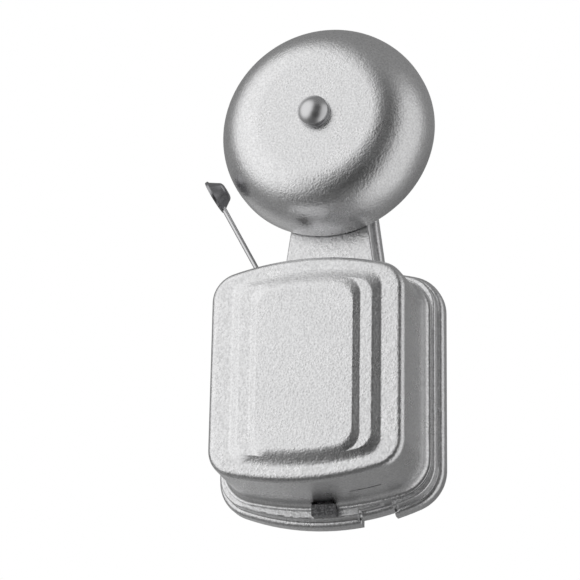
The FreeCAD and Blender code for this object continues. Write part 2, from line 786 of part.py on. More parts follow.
def make_gong():
    bend, straight = "gong_radius - gong_sheet", "-(gong_face_depth - gong_shoulder)"
    section = [
        ("gong_hole_radius", "-gong_face_depth"),
        ("gong_flat_radius", "-gong_face_depth"),
        ("gong_radius", straight),
        ("gong_radius", "-gong_rim_depth"),
        (bend, "-gong_rim_depth"),
        (bend, straight),
        ("gong_flat_radius", "-gong_inner_face"),
        ("gong_hole_radius", "-gong_inner_face"),
    ]
    shoulders = {1: ("gong_shoulder", 1), 5: ("gong_shoulder - gong_sheet", -1)}
    return move(turned("gong", section, shoulders), up="gong_height")


def make_post():
    section = [
        ("0", "-(pan_floor_rear - post_rivet_height)"),
        ("post_rivet_radius", "-(pan_floor_rear - post_rivet_height)"),
        ("post_rivet_radius", "-pan_floor_rear"),
        ("post_stud_radius", "-pan_floor_rear"),
        ("post_stud_radius", "-pan_depth"),
        ("post_collar_radius", "-pan_depth"),
        ("post_collar_radius", "-(pan_depth + post_collar_height)"),
        ("post_radius", "-(pan_depth + post_collar_height)"),
        ("post_radius", "-post_shoulder"),
        ("post_stud_radius", "-post_shoulder"),
        ("post_stud_radius", "-(nut_seat + stud_bite)"),
        ("0", "-(nut_seat + stud_bite)"),
    ]
    return move(turned("gong_post", section), up="gong_height")


def ring(label, bore, radius, rear, front):
    """A flat ring that lies between two depths."""
    section = [(bore, f"-({rear})"), (radius, f"-({rear})"), (radius, f"-({front})"), (bore, f"-({front})")]
    return turned(label, section)


def make_gong_washers():
    seat = ring("gong_seat_washer", "gong_hole_radius", "washer_radius", "post_shoulder", "gong_inner_face")
    outer = "nut_radius + nut_washer_margin"
    clamp = ring("gong_nut_washer", "gong_hole_radius", outer, "gong_face_depth", "nut_seat")
    return [move(washer, up="gong_height") for washer in (seat, clamp)]


def make_gong_nut():
    shoulder = "-(nut_seat + nut_side)"
    bore_end = "-(nut_seat + stud_bite + fit_clearance)"
    section = [
        ("gong_hole_radius", "-nut_seat"),
        ("nut_radius", "-nut_seat"),
        ("nut_radius", shoulder),
        ("0", "-(nut_seat + nut_side + nut_dome)"),
        ("0", bore_end),
        ("gong_hole_radius", bore_end),
    ]
    dome = {2: (bow_radius("nut_radius", "nut_dome"), -1)}
    return move(turned("gong_nut", section, dome), up="gong_height")


# ---------------------------------------------------------------------------------------------------------
# Electromagnet
# ---------------------------------------------------------------------------------------------------------


def cross_hole(body, right, depth, up, radius, length):
    """A round hole cut toward -X from the plane x = right."""
    drill(body, SIDE, right, f"-({depth})", up, radius, length)


def clamp_screw_holes(body, right, length):
    for sign in "-+":
        depth = f"armature_depth {sign} clamp_screw_offset"
        cross_hole(body, right, depth, "lug_height", "clamp_screw_hole", length)


def leaf_rivet_holes(body, right, length):
    for up in ("leaf_rivet_low", "leaf_rivet_high"):
        cross_hole(body, right, "armature_depth", up, "leaf_rivet_hole", length)


def make_frame():
    """A bent plate: its foot on the pan, the yoke upright at the right and the spring lug at the left."""
    body = new_body("magnet_frame")
    foot = [
        ("frame_left", "lug_bottom"),
        ("frame_arm_right", "lug_bottom"),
        ("frame_arm_right", "-yoke_half_height"),
        ("yoke_right", "-yoke_half_height"),
        ("yoke_right", "yoke_half_height"),
        ("frame_left", "yoke_half_height"),
    ]
    pad(body, profile(sketch_on(body, FRONT, "pan_depth"), foot), "frame_sheet")
    yoke = sketch_on(body, FRONT, "pan_depth")
    rectangle(yoke, "yoke_left", "-yoke_half_height", "yoke_right", "yoke_half_height")
    pad(body, yoke, "yoke_front - pan_depth")
    lug = sketch_on(body, FRONT, "pan_depth")
    rectangle(lug, "armature_left", "lug_bottom", "lug_right", "lug_top")
    pad(body, lug, "lug_depth - pan_depth")

    def is_yoke_corner(edge):
        first, last = edge.Vertexes[0].Point, edge.Vertexes[-1].Point
        along_x = abs(first.y - last.y) < 1e-4 and abs(first.z - last.z) < 1e-4
        return along_x and abs(first.y + value("yoke_front")) < 1e-4

    round_edges(body, "yoke_corner", is_yoke_corner)
    for sign in "-+":
        height = f"0 {sign} coil_axis_height"
        cross_hole(body, "yoke_right", "coil_axis_depth", height, "bobbin_bore", "yoke_sheet")
    clamp_screw_holes(body, "lug_right", "frame_sheet")
    for across in ("frame_rivet_left", "frame_rivet_right"):
        drill(body, FRONT, "frame_front", across, "0", "rivet_hole", "frame_sheet")
    return body


PLAIN_RIVET = {
    "radius": "rivet_radius",
    "head_radius": "rivet_head_radius",
    "head": "rivet_head",
}
CATCH_RIVET = {
    "radius": "catch_pin_radius",
    "head_radius": "catch_pin_head_radius",
    "head": "catch_pin_head",
}


def rivet(label, across, up, rear, front, radius, head_radius, head):
    """A rivet with a head behind the rear face and another before the front face."""
    section = [
        ("0", f"-({rear} - {head})"),
        (head_radius, f"-({rear} - {head})"),
        (head_radius, f"-({rear})"),
        (radius, f"-({rear})"),
        (radius, f"-({front})"),
        (head_radius, f"-({front})"),
        (f"{head_radius} - {head} / 2", f"-({front} + {head})"),
        ("0", f"-({front} + {head})"),
    ]
    return move(turned(label, section), across, "0", up)


def make_frame_rivets():
    rivets = []
    for number, across in enumerate(("frame_rivet_left", "frame_rivet_right")):
        label = f"frame_rivet_{number}"
        rivets.append(rivet(label, across, "0", "pan_floor_rear", "frame_front", **PLAIN_RIVET))
    return group("frame_rivets", rivets)


def make_coil(name, sign):
    """A soft iron core riveted into the yoke, with its bobbin and winding."""
    core = [
        ("pole_face", "0"),
        ("pole_face", "core_radius"),
        ("yoke_right", "core_radius"),
        ("yoke_right", "core_head_radius"),
        ("yoke_right + core_head", "core_head_radius"),
        ("yoke_right + core_head", "0"),
    ]
    left_cheek, right_cheek = "bobbin_left + bobbin_flange", "bobbin_right - bobbin_flange"
    bobbin = [
        ("bobbin_left", "bobbin_bore"),
        ("bobbin_left", "bobbin_radius"),
        (left_cheek, "bobbin_radius"),
        (left_cheek, "bobbin_tube_radius"),
        (right_cheek, "bobbin_tube_radius"),
        (right_cheek, "bobbin_radius"),
        ("bobbin_right", "bobbin_radius"),
        ("bobbin_right", "bobbin_bore"),
    ]
    start, end = f"{left_cheek} + fit_clearance", f"{right_cheek} - fit_clearance"
    inside = "bobbin_tube_radius + fit_clearance"
    winding = [(start, inside), (start, "winding_radius"), (end, "winding_radius"), (end, inside)]
    pieces = []
    for kind, section in (("core", core), ("bobbin", bobbin), ("winding", winding)):
        body = turned_about_x(f"{kind}_{name}", section)
        pieces.append(move(body, depth="coil_axis_depth", up=f"{sign}coil_axis_height"))
    return pieces


# ---------------------------------------------------------------------------------------------------------
# Armature, springs and hammer
# ---------------------------------------------------------------------------------------------------------


def make_armature():
    body = new_body("armature")
    bar = rectangle(
        sketch_on(body, FRONT, "armature_depth - armature_half_depth"),
        "armature_left",
        "armature_bottom",
        "armature_right",
        "armature_top",
    )
    pad(body, bar, "armature_half_depth * 2")

    def runs_across(edge):
        return abs(edge.Vertexes[0].Point.x - edge.Vertexes[-1].Point.x) > 1e-3

    round_edges(body, "armature_corner", runs_across)
    leaf_rivet_holes(body, "armature_right", "armature_sheet")
    depth = "armature_top - rod_socket"
    drill(body, LEVEL, "armature_top", "rod_across", "-rod_depth", "rod_hole", depth)
    return body


def make_armature_spring():
    """The leaf that carries the armature from the lug and pulls it back from the poles."""
    outline = [
        ("leaf_left", "lug_bottom"),
        ("armature_left", "lug_bottom"),
        ("armature_left", "leaf_top"),
        ("leaf_left", "leaf_top"),
    ]
    near, far = "armature_depth - leaf_half_depth", "armature_depth + leaf_half_depth"
    body = plate("armature_spring", outline, near, far)
    leaf_rivet_holes(body, "armature_left", "leaf_sheet")
    clamp_screw_holes(body, "armature_left", "leaf_sheet")
    return body


def make_spring_clamp():
    outline = [
        ("clamp_left", "lug_bottom"),
        ("leaf_left", "lug_bottom"),
        ("leaf_left", "lug_top"),
        ("clamp_left", "lug_top"),
    ]
    near, far = "armature_depth - leaf_half_depth", "armature_depth + leaf_half_depth"
    body = plate("spring_clamp", outline, near, far)
    clamp_screw_holes(body, "leaf_left", "clamp_sheet")
    return body


def slot_across(body, left, radius):
    """A screwdriver slot in a head that faces -X and is centred on the body's own X axis."""
    slot = sketch_on(body, SIDE, left)
    rectangle(slot, "-screw_slot_width / 2", f"-{radius}", "screw_slot_width / 2", radius)
    pocket(body, slot, "screw_slot_depth", Reversed=True)


def make_clamp_screws():
    section = [
        ("clamp_left - clamp_head", "0"),
        ("clamp_left - clamp_head", "clamp_head_radius"),
        ("clamp_left", "clamp_head_radius"),
        ("clamp_left", "clamp_screw_radius"),
        ("lug_right + clamp_head / 2", "clamp_screw_radius"),
        ("lug_right + clamp_head / 2", "0"),
    ]
    screws = []
    for number, sign in enumerate("-+"):
        body = turned_about_x(f"clamp_screw_{number}", section)
        slot_across(body, "clamp_left - clamp_head", "clamp_head_radius")
        screws.append(move(body, depth=f"armature_depth {sign} clamp_screw_offset", up="lug_height"))
    return group("clamp_screws", screws)


def make_spring_rivets():
    """Rivets through both springs and the armature, flush on the pole side."""
    section = [
        ("contact_leaf_left - leaf_rivet_head", "0"),
        ("contact_leaf_left - leaf_rivet_head", "leaf_rivet_head_radius"),
        ("contact_leaf_left", "leaf_rivet_head_radius"),
        ("contact_leaf_left", "leaf_rivet_radius"),
        ("armature_right", "leaf_rivet_radius"),
        ("armature_right", "0"),
    ]
    rivets = []
    for number, up in enumerate(("leaf_rivet_low", "leaf_rivet_high")):
        body = turned_about_x(f"spring_rivet_{number}", section)
        rivets.append(move(body, depth="armature_depth", up=up))
    return group("spring_rivets", rivets)


def make_contact_spring():
    """A light leaf that stands off the armature and carries the contact button."""
    crest = "contact_leaf_bend + contact_leaf_rise"
    outline = [
        ("leaf_left", "contact_leaf_bottom"),
        ("leaf_left", "contact_leaf_bend"),
        ("contact_tip_left + leaf_sheet", crest),
        ("contact_tip_left + leaf_sheet", "contact_leaf_top"),
        ("contact_tip_left", "contact_leaf_top"),
        ("contact_tip_left", crest),
        ("contact_leaf_left", "contact_leaf_bend"),
        ("contact_leaf_left", "contact_leaf_bottom"),
    ]
    near, far = "contact_depth - contact_leaf_half_depth", "contact_depth + contact_leaf_half_depth"
    body = plate("contact_spring", outline, near, far)
    leaf_rivet_holes(body, "leaf_left", "leaf_sheet")
    return body


def make_contact_button():
    section = [
        ("button_left", "0"),
        ("button_left", "button_radius - button_height / 2"),
        ("button_left + button_height / 2", "button_radius"),
        ("contact_tip_left", "button_radius"),
        ("contact_tip_left", "0"),
    ]
    body = turned_about_x("contact_button", section)
    return move(body, depth="contact_depth", up="contact_height")


def make_hammer_rod():
    body = new_body("hammer_rod")
    path = sketch_on(body, FRONT, "rod_depth")
    points = [
        ("rod_across", "rod_socket"),
        ("rod_across", "rod_bend_height - rod_tangent"),
        ("rod_across - rod_tangent * sin(rod_lean)", "rod_bend_height + rod_tangent * cos(rod_lean)"),
        ("rod_across - rod_reach * sin(rod_lean)", "rod_bend_height + rod_reach * cos(rod_lean)"),
    ]
    profile(path, points, {1: ("rod_bend_radius", 1)}, closed=False)
    section = circle(sketch_on(body, LEVEL, "rod_socket"), "rod_across", "-rod_depth", "rod_radius")
    feature(body, "AdditivePipe", section, Spine=path)
    path.Visibility = False
    return body


def make_hammer_head():
    """A flat disc backed by a blunt cone whose nose faces the gong, drilled across for the rod."""
    nose = "hammer_length - hammer_nose_round"
    section = [
        ("0", "0"),
        ("0", "hammer_disc_radius"),
        ("hammer_disc", "hammer_disc_radius"),
        ("hammer_disc", "hammer_waist_radius"),
        (nose, "hammer_nose_radius + hammer_nose_round / 2"),
        ("hammer_length", "hammer_nose_radius - hammer_nose_round / 2"),
        ("hammer_length", "0"),
    ]
    body = turned_about_x("hammer_head", section, {4: ("hammer_nose_round", -1)})
    length = "rod_bite + hammer_disc_radius"
    drill(body, LEVEL, "rod_bite", "hammer_rod_offset", "0", "rod_hole", length)
    lean = FreeCAD.Rotation(FreeCAD.Vector(0, -1, 0), value("rod_lean"))
    body.Placement = FreeCAD.Placement(FreeCAD.Vector(0, 0, 0), lean)
    body.setExpression("Placement.Rotation.Angle", bound("rod_lean"))
    return move(body, "hammer_across", "rod_depth", "hammer_height")


# ---------------------------------------------------------------------------------------------------------
# Make and break contact
# ---------------------------------------------------------------------------------------------------------


def make_pillar():
    body = new_body("contact_pillar")
    foot, head = "contact_height - pillar_half_height", "contact_height + pillar_half_height"
    side = [
        ("-pillar_seat", head),
        ("-contact_depth", head),
        ("-contact_depth", foot),
        ("-pillar_seat", foot),
    ]
    pad(body, profile(sketch_on(body, SIDE, "pillar_left"), side, {1: ("pillar_crown", 1)}), "pillar_width")
    bore = "contact_screw_hole"
    cross_hole(body, "pillar_right", "contact_depth", "contact_height", bore, "pillar_width")
    bite = "pillar_rivet_bite"
    drill(body, FRONT, f"pillar_seat + {bite}", "pillar_middle", "contact_height", "rivet_hole", bite)
    return body


def make_insulator():
    body = new_body("contact_insulator")
    sheet_outline = rectangle(
        sketch_on(body, FRONT, "pan_depth"),
        "pillar_left - insulator_margin",
        "contact_height - pillar_half_height - insulator_margin",
        "pillar_right + insulator_margin",
        "contact_height + pillar_half_height + insulator_margin",
    )
    pad(body, sheet_outline, "insulator_sheet")
    drill(body, FRONT, "pillar_seat", "pillar_middle", "contact_height", "rivet_hole", "insulator_sheet")
    return body


def make_bush():
    """A fibre bush that keeps the pillar's rivet clear of the pan."""
    section = [
        ("rivet_hole", "-(pan_floor_rear - bush_flange)"),
        ("bush_flange_radius", "-(pan_floor_rear - bush_flange)"),
        ("bush_flange_radius", "-pan_floor_rear"),
        ("bush_radius", "-pan_floor_rear"),
        ("bush_radius", "-pan_depth"),
        ("rivet_hole", "-pan_depth"),
    ]
    return move(turned("pillar_bush", section), "pillar_middle", "0", "contact_height")


def make_pillar_rivet():
    rear = "(pan_floor_rear - bush_flange)"
    tip = "-(pillar_seat + pillar_rivet_bite - fit_clearance)"
    section = [
        ("0", f"-({rear} - rivet_head)"),
        ("rivet_head_radius", f"-({rear} - rivet_head)"),
        ("rivet_head_radius", f"-{rear}"),
        ("rivet_radius", f"-{rear}"),
        ("rivet_radius", tip),
        ("0", tip),
    ]
    return move(turned("pillar_rivet", section), "pillar_middle", "0", "contact_height")


def make_contact_screw():
    section = [
        ("contact_head_left", "0"),
        ("contact_head_left", "contact_head_radius"),
        ("contact_head_right", "contact_head_radius"),
        ("contact_head_right", "contact_screw_radius"),
        ("contact_tip - contact_screw_nose", "contact_screw_radius"),
        ("contact_tip", "contact_screw_nose"),
        ("contact_tip", "0"),
    ]
    body = turned_about_x("contact_screw", section)
    slot_across(body, "contact_head_left", "contact_head_radius")
    return move(body, depth="contact_depth", up="contact_height")


def make_lock_nut():
    body = new_body("contact_lock_nut")
    corner = "lock_nut_flats / sqrt(3)"
    points = [(f"{corner} * cos({60 * turn})", f"{corner} * sin({60 * turn})") for turn in range(6)]
    pad(body, profile(sketch_on(body, SIDE, "lock_nut_left"), points), "lock_nut")
    drill(body, SIDE, "pillar_left", "0", "0", "contact_screw_hole", "lock_nut")
    return move(body, depth="contact_depth", up="contact_height")


# ---------------------------------------------------------------------------------------------------------
# Terminals and wire entry
# ---------------------------------------------------------------------------------------------------------

TERMINALS = ("terminal_left_screw", "terminal_right_screw")


def make_terminal_block():
    body = new_body("terminal_block")
    outline = sketch_on(body, FRONT, "pan_depth")
    rectangle(outline, "terminal_left", "terminal_bottom", "terminal_right", "terminal_top")
    pad(body, outline, "terminal_block_depth")
    front = "terminal_block_front"
    round_edges(body, "terminal_block_round", lambda edge: lies_at_depth(edge, value(front)))
    for across in TERMINALS:
        drill(body, FRONT, front, across, "terminal_height", "terminal_screw_hole", "terminal_bite")
    drill(body, FRONT, front, "terminal_middle", "terminal_height", "rivet_hole", "terminal_block_depth")
    return body


def make_terminal_plates():
    plates = []
    for number, across in enumerate(TERMINALS):
        body = new_body(f"terminal_plate_{number}")
        outline = rectangle(
            sketch_on(body, FRONT, "terminal_block_front"),
            f"{across} - terminal_plate_width / 2",
            "terminal_bottom + terminal_plate_margin",
            f"{across} + terminal_plate_width / 2",
            "terminal_top - terminal_plate_margin",
        )
        pad(body, outline, "terminal_plate_sheet")
        front, thickness = "terminal_plate_front", "terminal_plate_sheet"
        drill(body, FRONT, front, across, "terminal_height", "terminal_screw_hole", thickness)
        plates.append(body)
    return group("terminal_plates", plates)


def make_terminal_screws():
    top = "terminal_plate_front + terminal_head"
    tip = "terminal_block_front - terminal_bite + fit_clearance"
    section = [
        ("0", f"-({tip})"),
        ("terminal_screw_radius", f"-({tip})"),
        ("terminal_screw_radius", "-terminal_plate_front"),
        ("terminal_head_radius", "-terminal_plate_front"),
        ("terminal_head_radius", f"-({top})"),
        ("0", f"-({top})"),
    ]
    screws = []
    for number, across in enumerate(TERMINALS):
        body = turned(f"terminal_screw_{number}", section)
        slot = rectangle(
            sketch_on(body, FRONT, top),
            "-terminal_head_radius",
            "-screw_slot_width / 2",
            "terminal_head_radius",
            "screw_slot_width / 2",
        )
        pocket(body, slot, "screw_slot_depth")
        screws.append(move(body, across, "0", "terminal_height"))
    return group("terminal_screws", screws)


def make_block_rivet():
    rear, front = "pan_floor_rear", "terminal_block_front"
    return rivet("block_rivet", "terminal_middle", "terminal_height", rear, front, **PLAIN_RIVET)


def make_grommet():
    """A rubber ring that lines the hole where the house wires come in from the wall."""
    bore, rim = "entry_radius - grommet_wall", "entry_radius + grommet_flange"
    section = [
        (bore, "-(pan_floor_rear - grommet_sheet)"),
        (rim, "-(pan_floor_rear - grommet_sheet)"),
        (rim, "-pan_floor_rear"),
        ("entry_radius", "-pan_floor_rear"),
        ("entry_radius", "-pan_depth"),
        (rim, "-pan_depth"),
        (rim, "-(pan_depth + grommet_sheet)"),
        (bore, "-(pan_depth + grommet_sheet)"),
    ]
    return move(turned("entry_grommet", section), "entry_across", "0", "entry_height")


# ---------------------------------------------------------------------------------------------------------
# Cover catch
# ---------------------------------------------------------------------------------------------------------


def make_catch():
    """A thumb block in the notch of the cover, on a tail that slides on the pan behind the cover's lip."""
    body = new_body("cover_catch")
    thumb = sketch_on(body, FRONT, "catch_rear")
    rectangle(thumb, "-catch_width / 2", "catch_bottom", "catch_width / 2", "catch_top")
    pad(body, thumb, "catch_front - catch_rear")
    tail = sketch_on(body, FRONT, "catch_rear")
    rectangle(tail, "-catch_tail_width / 2", "catch_top", "catch_tail_width / 2", "catch_tail_top")
    pad(body, tail, "catch_tail_sheet")
    slot = sketch_on(body, FRONT, "catch_tail_front")
    slot_foot = "catch_pin_height - catch_slot_half_width"
    slot_head = "catch_pin_height + catch_travel + catch_slot_half_width"
    rectangle(slot, "-catch_slot_half_width", slot_foot, "catch_slot_half_width", slot_head)
    pocket(body, slot, "catch_tail_sheet")
    return body


def make_catch_pin():
    return rivet("catch_pin", "0", "catch_pin_height", "pan_floor_rear", "catch_pin_seat", **CATCH_RIVET)


# ---------------------------------------------------------------------------------------------------------
# Lead wires
# ---------------------------------------------------------------------------------------------------------


def rounded_path(points, bend):
    """Straight runs between points, joined by tangent arcs of one radius."""
    edges, start = [], points[0]
    for before, corner, after in zip(points, points[1:], points[2:]):
        back, ahead = (before - corner).normalize(), (after - corner).normalize()
        half = back.getAngle(ahead) / 2
        run = bend / math.tan(half)
        first, last = corner + back * run, corner + ahead * run
        middle = corner + (back + ahead).normalize() * (bend / math.sin(half) - bend)
        edges += [Part.LineSegment(start, first).toShape(), Part.Arc(first, middle, last).toShape()]
        start = last
    edges.append(Part.LineSegment(start, points[-1]).toShape())
    return Part.Wire(edges)


def lead(label, route):
    """An insulated wire swept along its route, a list of places across, in depth and up."""
    points = [FreeCAD.Vector(value(across), -value(depth), value(up)) for across, depth, up in route]
    path = rounded_path(points, value("lead_bend"))
    radius = value("lead_radius")
    section = Part.Wire(Part.makeCircle(radius, points[0], points[1] - points[0]))
    solid = path.makePipeShell([section], True, True)
    expected = math.pi * radius**2 * path.Length
    assert abs(solid.Volume - expected) < 0.01 * expected, f"{label} is not the size of its route"
    made = doc.addObject("Part::Feature", label)
    made.Label = label
    made.Shape = solid
    return made


def make_leads():
    touch = "(winding_radius + lead_radius + fit_clearance)"
    front = f"coil_axis_depth + {touch} * cos(link_start_angle)"
    low = f"coil_axis_height - {touch} * sin(link_start_angle)"
    crest = f"coil_axis_depth + {touch} + lead_radius"
    link_across = "bobbin_right - bobbin_flange - 3 * lead_radius"
    link = [
        (link_across, front, low),
        (link_across, crest, "link_run_half_height"),
        (link_across, crest, "-link_run_half_height"),
        (link_across, front, f"-({low})"),
    ]
    over_block = "terminal_top + lead_radius + fit_clearance"
    feed = [
        (TERMINALS[0], "coil_axis_depth", "-coil_axis_height - winding_radius - fit_clearance"),
        (TERMINALS[0], "coil_axis_depth", over_block),
        (TERMINALS[0], "terminal_block_front + lead_radius", over_block),
    ]
    on_pan = "pan_depth + lead_radius + fit_clearance"
    start_across = "bobbin_left + bobbin_flange + 4 * lead_radius"
    above_coil = "coil_axis_height + bobbin_radius + lead_rise"
    pillar_head = "contact_height + pillar_half_height"
    across_top = [
        (start_across, "coil_axis_depth", "coil_axis_height + winding_radius + fit_clearance"),
        (start_across, "coil_axis_depth", above_coil),
        (start_across, on_pan, above_coil),
        ("pillar_middle", on_pan, above_coil),
        ("pillar_middle", "pillar_seat + 4 * lead_radius", f"{pillar_head} + lead_end_gap"),
    ]
    below_frame = "-yoke_half_height - lead_radius - fit_clearance"
    ground = [
        ("frame_arm_right + fit_clearance", on_pan, below_frame),
        (f"{TERMINALS[1]} - lead_bend", on_pan, below_frame),
        (TERMINALS[1], on_pan, over_block),
        (TERMINALS[1], "terminal_block_front + lead_radius", over_block),
    ]
    return [
        lead("lead_coil_link", link),
        lead("lead_coil_feed", feed),
        lead("lead_coil_to_contact", across_top),
        lead("lead_frame_to_terminal", ground),
    ]


# ---------------------------------------------------------------------------------------------------------
# The bell
# ---------------------------------------------------------------------------------------------------------

nodes = [make_pan(), make_cover(), make_gong(), make_post(), *make_gong_washers(), make_gong_nut()]
nodes += [make_frame(), make_frame_rivets(), *make_coil("upper", ""), *make_coil("lower", "-")]
nodes += [make_spring_clamp(), make_clamp_screws()]
nodes += [make_armature(), make_armature_spring(), make_spring_rivets()]
nodes += [make_contact_spring(), make_contact_button(), make_hammer_rod(), make_hammer_head()]
nodes += [make_pillar(), make_insulator(), make_bush(), make_pillar_rivet()]
nodes += [make_contact_screw(), make_lock_nut()]
nodes += [make_terminal_block(), make_terminal_plates(), make_terminal_screws(), make_block_rivet()]
nodes += [make_grommet(), make_catch(), make_catch_pin()]
nodes += make_leads()

doc.recompute()

for thing in doc.Objects:
    assert not {"Invalid", "Error"} & set(thing.State), f"{thing.Label} failed: {thing.State}"

os.makedirs("parts", exist_ok=True)
for node in nodes:
    shape = node.Shape
    assert not shape.isNull() and shape.isValid() and shape.Solids, f"{node.Label} has no sound solid"
    shape.exportStep(f"parts/{node.Label}.step")
    print(f"{node.Label:24s} solids {len(shape.Solids)}  volume {shape.Volume:9.2f}")
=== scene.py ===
import json
import math

import bmesh
import bpy
from bpy.props import FloatProperty, FloatVectorProperty, IntProperty, PointerProperty
from mathutils import Matrix, Vector
from mathutils.geometry import intersect_point_line

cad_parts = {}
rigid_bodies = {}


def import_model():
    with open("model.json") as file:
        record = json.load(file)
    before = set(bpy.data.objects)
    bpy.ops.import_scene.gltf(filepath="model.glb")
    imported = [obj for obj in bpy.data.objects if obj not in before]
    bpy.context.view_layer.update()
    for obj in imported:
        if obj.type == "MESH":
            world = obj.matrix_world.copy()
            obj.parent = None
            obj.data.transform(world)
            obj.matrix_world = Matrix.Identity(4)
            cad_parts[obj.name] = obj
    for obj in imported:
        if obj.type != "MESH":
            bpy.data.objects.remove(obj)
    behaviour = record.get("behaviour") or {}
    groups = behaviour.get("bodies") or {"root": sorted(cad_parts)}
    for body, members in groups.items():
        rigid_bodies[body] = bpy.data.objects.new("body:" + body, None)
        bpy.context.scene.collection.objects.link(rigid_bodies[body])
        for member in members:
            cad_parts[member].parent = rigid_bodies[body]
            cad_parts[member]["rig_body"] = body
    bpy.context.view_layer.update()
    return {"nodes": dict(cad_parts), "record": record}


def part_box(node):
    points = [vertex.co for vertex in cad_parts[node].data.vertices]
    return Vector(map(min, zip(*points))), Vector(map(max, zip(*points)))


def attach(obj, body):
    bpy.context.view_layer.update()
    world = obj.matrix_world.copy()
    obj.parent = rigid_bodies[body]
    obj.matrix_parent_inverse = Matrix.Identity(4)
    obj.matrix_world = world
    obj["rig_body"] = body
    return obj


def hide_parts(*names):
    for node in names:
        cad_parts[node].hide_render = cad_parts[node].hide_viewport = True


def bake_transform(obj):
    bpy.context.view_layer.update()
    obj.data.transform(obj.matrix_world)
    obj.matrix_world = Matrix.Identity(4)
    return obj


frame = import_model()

bl_info = {
    "name": "Electric Bell",
    "version": (1, 0, 0),
    "blender": (4, 5, 0),
    "location": "3D View > Sidebar > Bell",
    "description": "Dresses the packed electric bell and sets it in a plain studio",
    "category": "Object",
}

# Metres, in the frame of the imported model: +X right, +Y into the wall, +Z up.  A depth is a distance in front
# of the wall, so its y is minus that.
MM = 0.001
SLOT_OF = {part["node"]: part["material_slot"] for part in frame["record"]["subparts"]}
BODY_OF = {name: node["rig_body"] for name, node in frame["nodes"].items()}
GONG_LOW, GONG_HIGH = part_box("gong")
NUT_LOW, NUT_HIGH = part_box("gong_nut")


# ------ Sizes, colours and studio settings ------


def length(name, description, default):
    """A size in metres, shown in the scene's unit of length."""
    return FloatProperty(name=name, description=description, default=default, unit="LENGTH", precision=5)


def angle(name, description, degrees):
    return FloatProperty(name=name, description=description, default=math.radians(degrees), unit="ROTATION")


def colour(name, description, shade):
    return FloatVectorProperty(
        name=name, description=description, default=shade, subtype="COLOR", size=3, min=0.0, max=1.0
    )


class BellGongSizes(bpy.types.PropertyGroup):
    centre_height: length("Centre height", "Height of the gong's centre", (GONG_LOW.z + GONG_HIGH.z) / 2)
    radius: length("Radius", "Outer radius of the gong", (GONG_HIGH.x - GONG_LOW.x) / 2)
    face_depth: length("Face depth", "Depth of the gong's flat face", -GONG_LOW.y)
    rim_depth: length("Rim depth", "Depth of the gong's open rim", -GONG_HIGH.y)
    shoulder: length("Shoulder", "Radius of the bend between face and skirt", 14.5 * MM)
    sheet: length("Sheet", "Thickness of the gong", 1.6 * MM)
    hole_radius: length("Hole radius", "Radius of the hole for the post", 2.45 * MM)
    rim_round: length("Rim round", "Radius that eases the rim's outer edge", 0.4 * MM)
    nut_radius: length("Nut radius", "Radius of the domed nut", (NUT_HIGH.x - NUT_LOW.x) / 2)
    nut_seat: length("Nut seat", "Depth of the nut's foot", -NUT_HIGH.y)
    nut_crown: length("Nut crown", "Depth of the top of the nut's dome", -NUT_LOW.y)
    nut_side: length("Nut side", "Height of the nut's upright side", 1.5 * MM)
    nut_bore: length("Nut bore", "Depth to which the nut is bored", 2.45 * MM)


